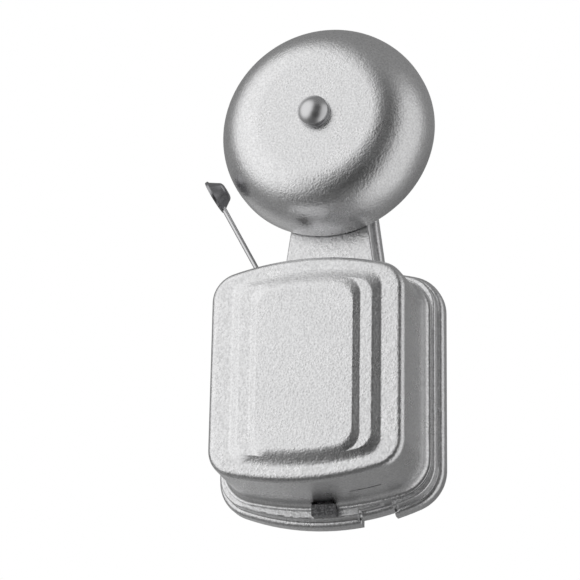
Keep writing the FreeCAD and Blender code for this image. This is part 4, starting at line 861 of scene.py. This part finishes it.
def bowed_outline(outline, grow=0.0):
    """Places round a form with upright sides, bowed ends and round corners, grown outward by a length."""
    half_width, top, bottom, top_bow, bottom_bow, corner = outline
    lower = bowed_end(half_width, bottom, bottom_bow, corner, grow)
    upper = [(-across, -up) for across, up in bowed_end(half_width, -top, top_bow, corner, grow)]
    right = [(lower[-1][0], up) for up in spaced(lower[-1][1], upper[0][1], 24)[1:-1]]
    left = [(upper[-1][0], up) for up in spaced(upper[-1][1], lower[0][1], 24)[1:-1]]
    return lower + right + upper + left


def raised(outline, depth, grow=0.0):
    """A loop of corners round an outline at a depth."""
    return [(across, -depth, up) for across, up in bowed_outline(outline, grow)]


def eased_ramp(share, ease):
    """A straight climb from 0 to 1 that starts and ends level over a share of its length."""
    steepest = 1 / (1 - ease)
    if share < ease:
        return steepest * share * share / (2 * ease)
    if share > 1 - ease:
        return 1 - steepest * (1 - share) ** 2 / (2 * ease)
    return steepest * (share - ease / 2)


def panel_outline(sizes, half_width, climb):
    """The raised panel's outline where its sides have come in to a half width.  Above and below, the panel
    climbs in one long S from foot to top, whose place at a share of the climb is worked out here."""
    along = 0.5 - math.sin(math.asin(1 - 2 * climb) / 3)
    share = (half_width / sizes.half_width) ** 2
    top = sizes.panel_top - along * sizes.panel_top_slope
    bottom = sizes.panel_bottom + along * sizes.panel_bottom_slope
    return (half_width, top, bottom, sizes.top_bow * share, sizes.bottom_bow * share, sizes.panel_corner)


def panel_loops(sizes, foot, grow):
    """Loops from the panel's foot to its flat top.  At the sides it climbs in two steps with a terrace."""
    loops = []
    whole = sizes.panel_lower_step + sizes.panel_upper_step
    steps = (
        (sizes.panel_foot, sizes.panel_terrace, 0.0, sizes.panel_lower_step),
        (sizes.panel_riser, sizes.panel_crest, sizes.panel_lower_step, sizes.panel_upper_step),
    )
    for outer, inner, start, rise in steps:
        for share in spaced(0.0, 1.0, 16):
            height = start + rise * eased_ramp(share, STEP_EASE)
            outline = panel_outline(sizes, outer + share * (inner - outer), height / whole)
            loops.append(raised(outline, foot + height, grow))
    return loops


def cover_side(sizes, outline):
    """Loops down the outside of the cover, from its front round over the flare to its rear edge."""
    front, ease, top = sizes.face_depth, sizes.front_round, sizes.lip_round
    loops = [raised(outline, front, -ease - FACE_HOLD)]
    for spread, depth in arc(-ease, front - ease, ease, 90, 0, 8):
        loops.append(raised(outline, depth, spread))
    fall = front - ease - sizes.flare_front
    for share in spaced(0.0, 1.0, 4)[1:]:
        loops.append(raised(outline, front - ease - share * fall, share * sizes.draft))
    drop, spread = sizes.flare_front - sizes.lip_front, sizes.flare - top
    for share in [math.sin(math.radians(turn)) for turn in spaced(0.0, 90.0, 10)][1:]:
        depth = sizes.flare_front - drop * share
        loops.append(raised(outline, depth, sizes.draft + spread * (1 - math.sqrt(max(0.0, 1 - share * share)))))
    lip = sizes.draft + spread
    for out, depth in arc(lip, sizes.lip_front - top, top, 90, 0, 4)[1:]:
        loops.append(raised(outline, depth, out))
    for out, depth in arc(lip, sizes.rear + top, top, 0, -90, 4):
        loops.append(raised(outline, depth, out))
    return loops


def cover_lining(sizes, outline):
    """Loops from the rear edge up the inside of the cover to the inner face."""
    inner, face = sizes.draft - sizes.sheet, sizes.face_depth - sizes.sheet
    return [
        raised(outline, sizes.rear, sizes.draft + sizes.flare / 2 - LIP_THINNING),
        raised(outline, sizes.lip_front, inner + LIP_SPREAD),
        raised(outline, sizes.flare_front, inner),
        raised(outline, face - LINING_CHAMFER, -sizes.sheet),
        raised(outline, face, -sizes.sheet - LINING_CHAMFER),
    ]


class BELL_OT_make_cover(bpy.types.Operator):
    """Draw the pressed cover with its stepped panel, flared lip, notch and slits"""

    bl_idname = "bell.make_cover"
    bl_label = "Make cover"

    def execute(self, context):
        sizes = context.scene.bell_cover
        outline = (sizes.half_width, sizes.top, sizes.bottom, sizes.top_bow, sizes.bottom_bow, sizes.corner)
        crest = panel_loops(sizes, sizes.face_depth, 0.0)
        lining = panel_loops(sizes, sizes.face_depth - sizes.sheet, -sizes.sheet)
        loops = crest[::-1] + cover_side(sizes, outline) + cover_lining(sizes, outline) + lining
        draft = linked("cover_pressing", stacked(loops))
        beyond, slit_reach = 10 * MM, 4 * MM
        slit = -sizes.lance_depth
        cut(
            draft,
            block(
                (sizes.rod_slot_left, -sizes.rod_slot_depth, sizes.top - beyond),
                (sizes.rod_slot_right, 0.0, sizes.top + beyond),
            ),
            block(
                (-sizes.notch_half_width, -sizes.notch_depth, sizes.bottom - beyond),
                (sizes.notch_half_width, 0.0, sizes.notch_head),
            ),
            block(
                (sizes.lance_left, slit, sizes.bottom - beyond),
                (sizes.lance_left + sizes.lance_length, slit + sizes.lance_width, sizes.bottom + slit_reach),
            ),
        )
        eased(draft, sharp=35)
        show(draft, "cover")
        return {"FINISHED"}


# ------ Pan, catch and hammer ------


FACES_FRONT = -0.99  # a face whose normal's y is below this looks out of the wall
LEVEL_WITHIN = 0.01 * MM  # corners of the ledge lie at its depth to within this
UPRIGHT_WITHIN = 0.02 * MM  # the knock-out's cut sides are upright to within this
KNOCKOUT_WITHIN = 25 * MM  # and stand nearer than this to the pan's middle


def gap_to(spans, point):
    """Least distance from a point to any of many straight spans."""
    least = math.inf
    for first, last in spans:
        nearest, share = intersect_point_line(point, first, last)
        if share < 0 or share > 1:
            nearest = first if share < 0 else last
        least = min(least, (nearest - point).length)
    return least


def roll_ledge(draft, depth, roll, spacing):
    """Turn the outer edge of the ledge at a depth back in a round, but not where the knock-out is cut."""
    shape = bmesh.new()
    shape.from_mesh(draft.data)

    def is_ledge(face):
        return face.normal.y < FACES_FRONT and all(abs(vert.co.y + depth) < LEVEL_WITHIN for vert in face.verts)

    outer = []
    for edge in shape.edges:
        behind = [face for face in edge.link_faces if all(vert.co.y > -depth - LEVEL_WITHIN for vert in face.verts)]
        first, last = (vert.co.copy() for vert in edge.verts)
        upright = abs(first.x - last.x) < UPRIGHT_WITHIN
        is_cut = upright and abs(first.x) < KNOCKOUT_WITHIN and first.z < 0
        if len(behind) == 2 and not is_cut and sum(is_ledge(face) for face in behind) == 1:
            outer.append((first, last))
    ledge = [face for face in shape.faces if is_ledge(face)]
    bmesh.ops.triangulate(shape, faces=ledge)
    while True:
        ledge = [face for face in shape.faces if is_ledge(face)]
        wide = {edge for face in ledge for edge in face.edges if edge.calc_length() > spacing}
        if not wide:
            break
        bmesh.ops.subdivide_edges(shape, edges=list(wide), cuts=1)
        bmesh.ops.triangulate(shape, faces=[face for face in shape.faces if is_ledge(face)])
    for vert in {vert for face in ledge for vert in face.verts}:
        inward = max(0.0, roll - gap_to(outer, vert.co))
        vert.co.y += roll - math.sqrt(roll**2 - inward**2)
    shape.to_mesh(draft.data)
    shape.free()


class BELL_OT_make_pan(bpy.types.Operator):
    """Roll the ledge of the pressed back pan and ease its cable grommet"""

    bl_idname = "bell.make_pan"
    bl_label = "Make pan"

    def execute(self, context):
        sizes = context.scene.bell_pan
        draft = linked("back_pan_rolled", merged_copy("back_pan"))
        roll_ledge(draft, sizes.ledge_depth, sizes.ledge_roll, sizes.ledge_mesh)
        eased(draft, sharp=45)
        show(draft, "back_pan")
        soften("entry_grommet", SOFT_EDGE)
        return {"FINISHED"}


class BELL_OT_make_catch(bpy.types.Operator):
    """Round the pebbled catch and ease its pin"""

    bl_idname = "bell.make_catch"
    bl_label = "Make catch"

    def execute(self, context):
        soften("cover_catch", CATCH_EDGE)
        soften("catch_pin", FINE_EDGE)
        return {"FINISHED"}


def head_profile(sizes):
    """Half the hammer head's section as (radius, along), from the disc's flat face to the nose."""
    ease, side = SOFT_EDGE, sizes.disc_radius - SOFT_EDGE
    profile = [(0.0, 0.0)]
    profile += arc(side, ease, ease, -90, 0, 4)
    profile += arc(side, sizes.disc - ease, ease, 0, 90, 4)
    profile += [(sizes.waist_radius, sizes.disc)]
    profile += arc(sizes.nose_radius, sizes.length - sizes.nose_round, sizes.nose_round, 24, 90, 12)
    return profile + [(0.0, sizes.length)]


def upper_rod(sizes):
    """The corner of the rod's bend, and the direction of the rod above it."""
    corner = Vector((sizes.rod_across, -sizes.rod_depth, sizes.bend_height))
    return corner, Vector((-math.sin(sizes.lean), 0, math.cos(sizes.lean)))


def rod_path(sizes):
    """Points along the middle of the rod, up through its bend to the head."""
    lean, bend = sizes.lean, sizes.bend_radius
    corner, slope = upper_rod(sizes)
    foot = Vector((sizes.rod_across, -sizes.rod_depth, sizes.socket_height))
    middle_up = sizes.bend_height - bend * math.tan(lean / 2)
    turns = arc(sizes.rod_across - bend, middle_up, bend, 0, math.degrees(lean), 12)
    path = [foot] + [Vector((across, -sizes.rod_depth, up)) for across, up in turns]
    return path + [corner + slope * (sizes.reach + sizes.bite)]


class BELL_OT_make_hammer(bpy.types.Operator):
    """Bend the hammer rod and turn its head"""

    bl_idname = "bell.make_hammer"
    bl_label = "Make hammer"

    def execute(self, context):
        sizes = context.scene.bell_hammer
        rod = linked("hammer_wire", swept(rod_path(sizes), sizes.rod_radius))
        eased(rod, sharp=50)
        show(rod, "hammer_rod")
        corner, slope = upper_rod(sizes)
        axis = Vector((math.cos(sizes.lean), 0, math.sin(sizes.lean)))
        face = corner + slope * sizes.reach - axis * sizes.rod_offset
        place = Matrix.Translation(face) @ Matrix.Rotation(math.radians(90) - sizes.lean, 4, "Y")
        head = linked("hammer_striker", turned(head_profile(sizes), place, 96))
        eased(head, sharp=28)
        show(head, "hammer_head")
        return {"FINISHED"}


# ------ Works under the cover ------


class BELL_OT_wind_coils(bpy.types.Operator):
    """Wind enamelled wire on both bobbins"""

    bl_idname = "bell.wind_coils"
    bl_label = "Wind coils"

    def execute(self, context):
        sizes = context.scene.bell_works
        tool = winding_tool()
        for node in ("winding_upper", "winding_lower"):
            low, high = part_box(node)
            middle = (low + high) / 2
            width = high.x - low.x
            wire = width / sizes.winding_turns / 2
            draft = tool.make(
                f"{node}_wire", left=(low.x + wire, middle.y, middle.z), width=width - 2 * wire,
                turns=float(sizes.winding_turns - 1), radius=sizes.winding_radius, wire=wire,
                finish=finish_of(node),
            )
            show(draft, node)
        return {"FINISHED"}


HALF_SLOT = 0.25 * MM  # half the width of a screwdriver slot
SLOT_DEPTH = 0.7 * MM


def headed(head_radius, head_top, seat, shank_radius, tip, ease, place, slot=None):
    """One fastener about its own axis.  Places along it may run either way.  A slot is a block's corners."""
    down = -1 if head_top > seat else 1
    profile = [(0.0, head_top), (head_radius - ease, head_top), (head_radius, head_top + down * ease)]
    profile += [(head_radius, seat), (shank_radius, seat), (shank_radius, tip), (0.0, tip)]
    draft = linked("fastener", turned(profile, place, 40))
    if slot:
        cut(draft, block(*slot))
    eased(draft)
    return draft


def set_pair(tool, node, fastener, radius, along):
    """Set a fastener in both places of a CAD pair, whose axes run along x (0) or y (1)."""
    low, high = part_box(node)
    first = tuple(0.0 if axis == along else low[axis] + radius for axis in range(3))
    step = tuple(0.0 if axis == along else high[axis] - low[axis] - 2 * radius for axis in range(3))
    pair = tool.make(
        f"{node[:-1]}_pair", fastener=fastener, count=2, first=first, step=step, finish=finish_of(node)
    )
    bpy.data.objects.remove(fastener)
    show(pair, node)


class BELL_OT_set_screws(bpy.types.Operator):
    """Set the pairs of screws and rivets"""

    bl_idname = "bell.set_screws"
    bl_label = "Set screws"

    def execute(self, context):
        ease, tool = context.scene.bell_works.head_round, row_tool()

        low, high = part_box("terminal_screws")
        radius, top = (high.z - low.z) / 2, -low.y
        head, shank = 1.5 * MM, 1.4 * MM
        slot = ((-radius, -top - MM, -HALF_SLOT), (radius, -top + SLOT_DEPTH, HALF_SLOT))
        screw = headed(radius, top, top - head, shank, -high.y, ease, FRONTWARD, slot)
        set_pair(tool, "terminal_screws", screw, radius, along=1)

        low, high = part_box("clamp_screws")
        radius, top = (high.z - low.z) / 2, low.x
        head, shank = 1.1 * MM, 0.9 * MM
        slot = ((top - MM, -HALF_SLOT, -radius), (top + SLOT_DEPTH, HALF_SLOT, radius))
        screw = headed(radius, top, top + head, shank, high.x, ease, ALONG_X, slot)
        set_pair(tool, "clamp_screws", screw, radius, along=0)

        low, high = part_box("spring_rivets")
        radius, head, shank = (high.y - low.y) / 2, 0.6 * MM, 0.9 * MM
        rivet = headed(radius, low.x, low.x + head, shank, high.x, ease, ALONG_X)
        set_pair(tool, "spring_rivets", rivet, radius, along=0)

        low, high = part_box("frame_rivets")
        radius, head, shank = (high.z - low.z) / 2, 0.8 * MM, 1.25 * MM
        section = [
            (0.0, -low.y), (radius - ease, -low.y), (radius, -low.y - ease), (radius, -low.y - head),
            (shank, -low.y - head), (shank, -high.y + head), (radius, -high.y + head),
            (radius, -high.y + ease), (radius - ease, -high.y), (0.0, -high.y),
        ]
        rivet = linked("fastener", turned(section, FRONTWARD, 40))
        eased(rivet)
        set_pair(tool, "frame_rivets", rivet, radius, along=1)
        return {"FINISHED"}


class BELL_OT_turn_contact_screw(bpy.types.Operator):
    """Turn the contact screw with its thread, slot and knurled head"""

    bl_idname = "bell.turn_contact_screw"
    bl_label = "Turn contact screw"

    def execute(self, context):
        sizes = context.scene.bell_works
        low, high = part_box("contact_screw")
        middle, radius, ease = (low + high) / 2, (high.z - low.z) / 2, sizes.head_round
        head, tip, tip_radius = 2.2 * MM, 0.8 * MM, 0.8 * MM
        rim, seat = radius - sizes.knurl_rise, low.x + head
        profile = [(0.0, low.x), (rim - ease, low.x), (rim, low.x + ease), (rim, seat - ease), (rim - ease, seat)]
        crest, root, pitch = 1.5 * MM, 1.32 * MM, 0.25 * MM
        thread_end = high.x - tip
        count = int((thread_end - seat) / pitch)
        profile += [(crest if turn % 2 else root, seat + turn * pitch) for turn in range(count)]
        profile += [(crest, thread_end), (tip_radius, high.x), (0.0, high.x)]
        place = Matrix.Translation((0, middle.y, middle.z)) @ ALONG_X
        screw = linked("contact_screw_body", turned(profile, place, 48))
        cut(screw, block(
            (low.x - MM, middle.y - HALF_SLOT, middle.z - radius),
            (low.x + SLOT_DEPTH, middle.y + HALF_SLOT, middle.z + radius),
        ))
        eased(screw)
        show(screw, "contact_screw")
        knurl = ridge_tool().make(
            "contact_screw_knurl", middle=((low.x + seat) / 2, middle.y, middle.z), ridges=sizes.knurl_ridges,
            radius=rim, rise=sizes.knurl_rise, width=seat - low.x - 2 * ease, finish=finish_of("contact_screw"),
        )
        show(knurl, "contact_screw")
        return {"FINISHED"}


def show_leaf(edge, spans):
    """Show the armature's spring as a leaf, its mesh cut across in spans from the top of its clamp to the foot of
    the armature."""
    held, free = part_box("spring_clamp")[1].z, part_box("armature")[0].z
    leaf = linked("armature_spring_bent", merged_copy("armature_spring"))
    shape = bmesh.new()
    shape.from_mesh(leaf.data)
    for span in range(spans + 1):
        across = Vector((0, 0, held + (free - held) * span / spans))
        parts = [*shape.verts, *shape.edges, *shape.faces]
        bmesh.ops.bisect_plane(shape, geom=parts, plane_co=across, plane_no=Vector((0, 0, 1)))
    shape.to_mesh(leaf.data)
    shape.free()
    eased(leaf, edge=edge)
    dress(leaf, "armature_spring")
    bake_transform(leaf)


class BELL_OT_dress_works(bpy.types.Operator):
    """Ease the magnet, armature, contacts, terminals and leads"""

    bl_idname = "bell.dress_works"
    bl_label = "Dress works"

    def execute(self, context):
        edge = context.scene.bell_works.edge_round
        for node in (
            "magnet_frame", "armature", "spring_clamp", "core_upper", "core_lower", "contact_pillar",
            "contact_lock_nut", "terminal_block", "terminal_plates", "bobbin_upper", "bobbin_lower",
        ):
            soften(node, edge)
        for node in ("contact_spring", "contact_button", "contact_insulator"):
            soften(node, LEAF_EDGE)
        show_leaf(LEAF_EDGE, spans=8)
        for node in ("pillar_bush", "pillar_rivet", "block_rivet"):
            soften(node, FINE_EDGE)
        for node in ("lead_coil_link", "lead_coil_feed", "lead_coil_to_contact", "lead_frame_to_terminal"):
            soften(node, sharp=50)
        return {"FINISHED"}


# ------ Studio ------

# The grey tent round the bell, which only a polished surface sees, and its lit and dark cloths.  Each cloth has
# the direction of its middle (degrees to the right of straight ahead of the bell, and degrees up), half the
# angle that it spans in full and to the end of its soft edge, and its grey.  A later cloth hangs over an earlier.
TENT_GREY = 0.25
CLOTHS = (
    ((-43, 26), (20, 50), 1.00),
    ((-44, 5), (18, 44), 1.00),
    ((78, 10), (14, 44), 0.74),
    ((78, -32), (14, 44), 0.74),
    ((14, -24), (10, 36), 0.05),
    ((26, 18), (8, 30), 0.08),
    ((-22, -58), (6, 34), 0.12),
    ((158, -4), (8, 30), 0.19),
    ((-138, -17), (5, 28), 0.46),
)

FLOOR_RADIUS = 12.0
FLOOR_PATCH = 0.05  # size of the soft patches in the floor's paint
FLOOR_TINTS = (0.86, 0.90)

# Lamps: place in metres, size, power in watts.
LAMPS = {
    "key_lamp": ((-1.7, -2.3, 2.0), 1.6, 62),
    "fill_lamp": ((2.4, -1.6, 0.8), 1.8, 26),
    "rear_lamp": ((0.4, 1.8, 2.2), 1.6, 22),
}


def tent_material():
    """Soft grey cloth, lit from outside."""
    material = bpy.data.materials.new("tent_cloth")
    material.use_nodes = True
    bench = NodeBench(material.node_tree)
    bench.tree.nodes.clear()
    place = bench.add("ShaderNodeTexCoord").outputs["Object"]
    outward = bench.add("ShaderNodeVectorMath", {0: place}, operation="NORMALIZE").outputs[0]
    grey = TENT_GREY
    for middle, spans, level in CLOTHS:
        turn, rise = (math.radians(degrees) for degrees in middle)
        full, end = (math.cos(math.radians(degrees)) for degrees in spans)
        toward = Vector((math.sin(turn) * math.cos(rise), -math.cos(turn) * math.cos(rise), math.sin(rise)))
        near = bench.add("ShaderNodeVectorMath", {0: outward, 1: toward}, operation="DOT_PRODUCT")
        sockets = {0: near.outputs["Value"], 1: end, 2: full}
        share = bench.add("ShaderNodeMapRange", sockets, interpolation_type="SMOOTHSTEP")
        grey = grey + Tone(bench, share.outputs[0]) * (level - grey)
    glow = bench.add("ShaderNodeEmission", {"Color": grey, "Strength": 1.0})
    bench.add("ShaderNodeOutputMaterial", {"Surface": glow.outputs[0]})
    return material


def dome(name, radius, rings=16, segments=32):
    """A hollow ball of flat faces."""
    profile = [(radius * math.sin(turn), -radius * math.cos(turn)) for turn in spaced(0.0, math.pi, rings)]
    profile[0], profile[-1] = (0.0, -radius), (0.0, radius)
    return linked(name, turned(profile, None, segments))


def disc(name, radius, segments=48):
    turns = [2 * math.pi * step / segments for step in range(segments)]
    mesh = bpy.data.meshes.new(name)
    mesh.from_pydata([(math.cos(turn), math.sin(turn), 0.0) for turn in turns], [], [list(range(segments))])
    made = linked(name, mesh)
    made.scale = (radius, radius, 1.0)
    return made


def set_camera(studio):
    """Aim the camera from its angles, distance and roll."""
    turn, rise = studio.azimuth, studio.elevation
    ahead = Vector((-math.sin(turn) * math.cos(rise), math.cos(turn) * math.cos(rise), math.sin(rise)))
    right = Vector((math.cos(turn), math.sin(turn), 0.0))
    over = right.cross(ahead)
    rolled_right = math.cos(studio.roll) * right + math.sin(studio.roll) * over
    rolled_over = math.cos(studio.roll) * over - math.sin(studio.roll) * right
    place = Matrix((rolled_right, rolled_over, -ahead)).transposed().to_4x4()
    place.translation = Vector(studio.target) - ahead * studio.distance
    lens = bpy.data.cameras.new("camera")
    lens.lens, lens.sensor_width, lens.clip_start, lens.clip_end = studio.lens, 36.0, 0.01, 50.0
    camera = linked("camera", lens)
    camera.matrix_world = place
    bpy.context.scene.camera = camera


def set_world(surround):
    """Soft even light, and white where the camera, or a ray that misses the tent, sees past the bell."""
    world = bpy.data.worlds.new("studio")
    world.use_nodes = True
    bench = NodeBench(world.node_tree)
    bench.tree.nodes.clear()
    ray = bench.add("ShaderNodeLightPath").outputs
    camera, glossy, through = (Tone(bench, ray[f"Is {kind} Ray"]) for kind in ("Camera", "Glossy", "Transmission"))
    soft, white = (
        bench.add("ShaderNodeBackground", {"Color": (1.0, 1.0, 1.0, 1.0), "Strength": level})
        for level in (surround, 1.0)
    )
    sockets = {0: camera + glossy + through, 1: soft.outputs[0], 2: white.outputs[0]}
    both = bench.add("ShaderNodeMixShader", sockets)
    bench.add("ShaderNodeOutputWorld", {"Surface": both.outputs[0]})
    bpy.context.scene.world = world


class BELL_OT_set_stage(bpy.types.Operator):
    """Place the camera, floor, tent and lamps"""

    bl_idname = "bell.set_stage"
    bl_label = "Set stage"

    def execute(self, context):
        studio = context.scene.bell_studio
        set_camera(studio)
        set_world(studio.surround)
        context.scene.view_settings.view_transform = "Standard"

        floor = disc("studio_floor", FLOOR_RADIUS)
        floor.location.z = studio.floor_height
        paint = Finish("floor_paint", roughness=0.9)
        darker, paler = ((level,) * 3 for level in FLOOR_TINTS)
        paint.give("Base Color", paint.blend(paint.noise(FLOOR_PATCH, 4.0), darker, paler))
        floor.data.materials.append(paint.material)
        floor.visible_glossy = False

        tent = dome("studio_tent", studio.tent_radius)
        tent.data.materials.append(tent_material())
        for ray in ("camera", "diffuse", "transmission", "volume_scatter", "shadow"):
            setattr(tent, f"visible_{ray}", False)

        for name, (place, size, power) in LAMPS.items():
            light = bpy.data.lights.new(name, "AREA")
            light.energy, light.shape, light.size = power, "DISK", size
            lamp = linked(name, light)
            lamp.location = place
            lamp.rotation_euler = Vector(place).to_track_quat("Z", "Y").to_euler()
            lamp.visible_glossy = False
        return {"FINISHED"}


# ------ Panel and start ------

OPERATORS = (
    BELL_OT_set_stage,
    BELL_OT_make_pan,
    BELL_OT_make_cover,
    BELL_OT_make_catch,
    BELL_OT_make_gong,
    BELL_OT_make_gong_fixings,
    BELL_OT_make_hammer,
    BELL_OT_wind_coils,
    BELL_OT_set_screws,
    BELL_OT_turn_contact_screw,
    BELL_OT_dress_works,
)


class BELL_PT_sidebar(bpy.types.Panel):
    """Lists the steps that dress the bell"""

    bl_idname = "BELL_PT_sidebar"
    bl_label = "Electric Bell"
    bl_space_type = "VIEW_3D"
    bl_region_type = "UI"
    bl_category = "Bell"

    def draw(self, context):
        column = self.layout.column(align=True)
        for operator in OPERATORS:
            column.operator(operator.bl_idname)


GROUPS = {
    "bell_gong": BellGongSizes,
    "bell_cover": BellCoverSizes,
    "bell_pan": BellPanSizes,
    "bell_hammer": BellHammerSizes,
    "bell_works": BellWorksSizes,
    "bell_colours": BellColours,
    "bell_studio": BellStudio,
}


def register():
    for kind in (*GROUPS.values(), *OPERATORS, BELL_PT_sidebar):
        bpy.utils.register_class(kind)
    for name, group in GROUPS.items():
        setattr(bpy.types.Scene, name, PointerProperty(type=group))


def unregister():
    for name in GROUPS:
        delattr(bpy.types.Scene, name)
    for kind in reversed((*GROUPS.values(), *OPERATORS, BELL_PT_sidebar)):
        bpy.utils.unregister_class(kind)


def main():
    register()
    for operator in OPERATORS:
        group, name = operator.bl_idname.split(".")
        getattr(getattr(bpy.ops, group), name)()


if __name__ == "__main__":
    main()
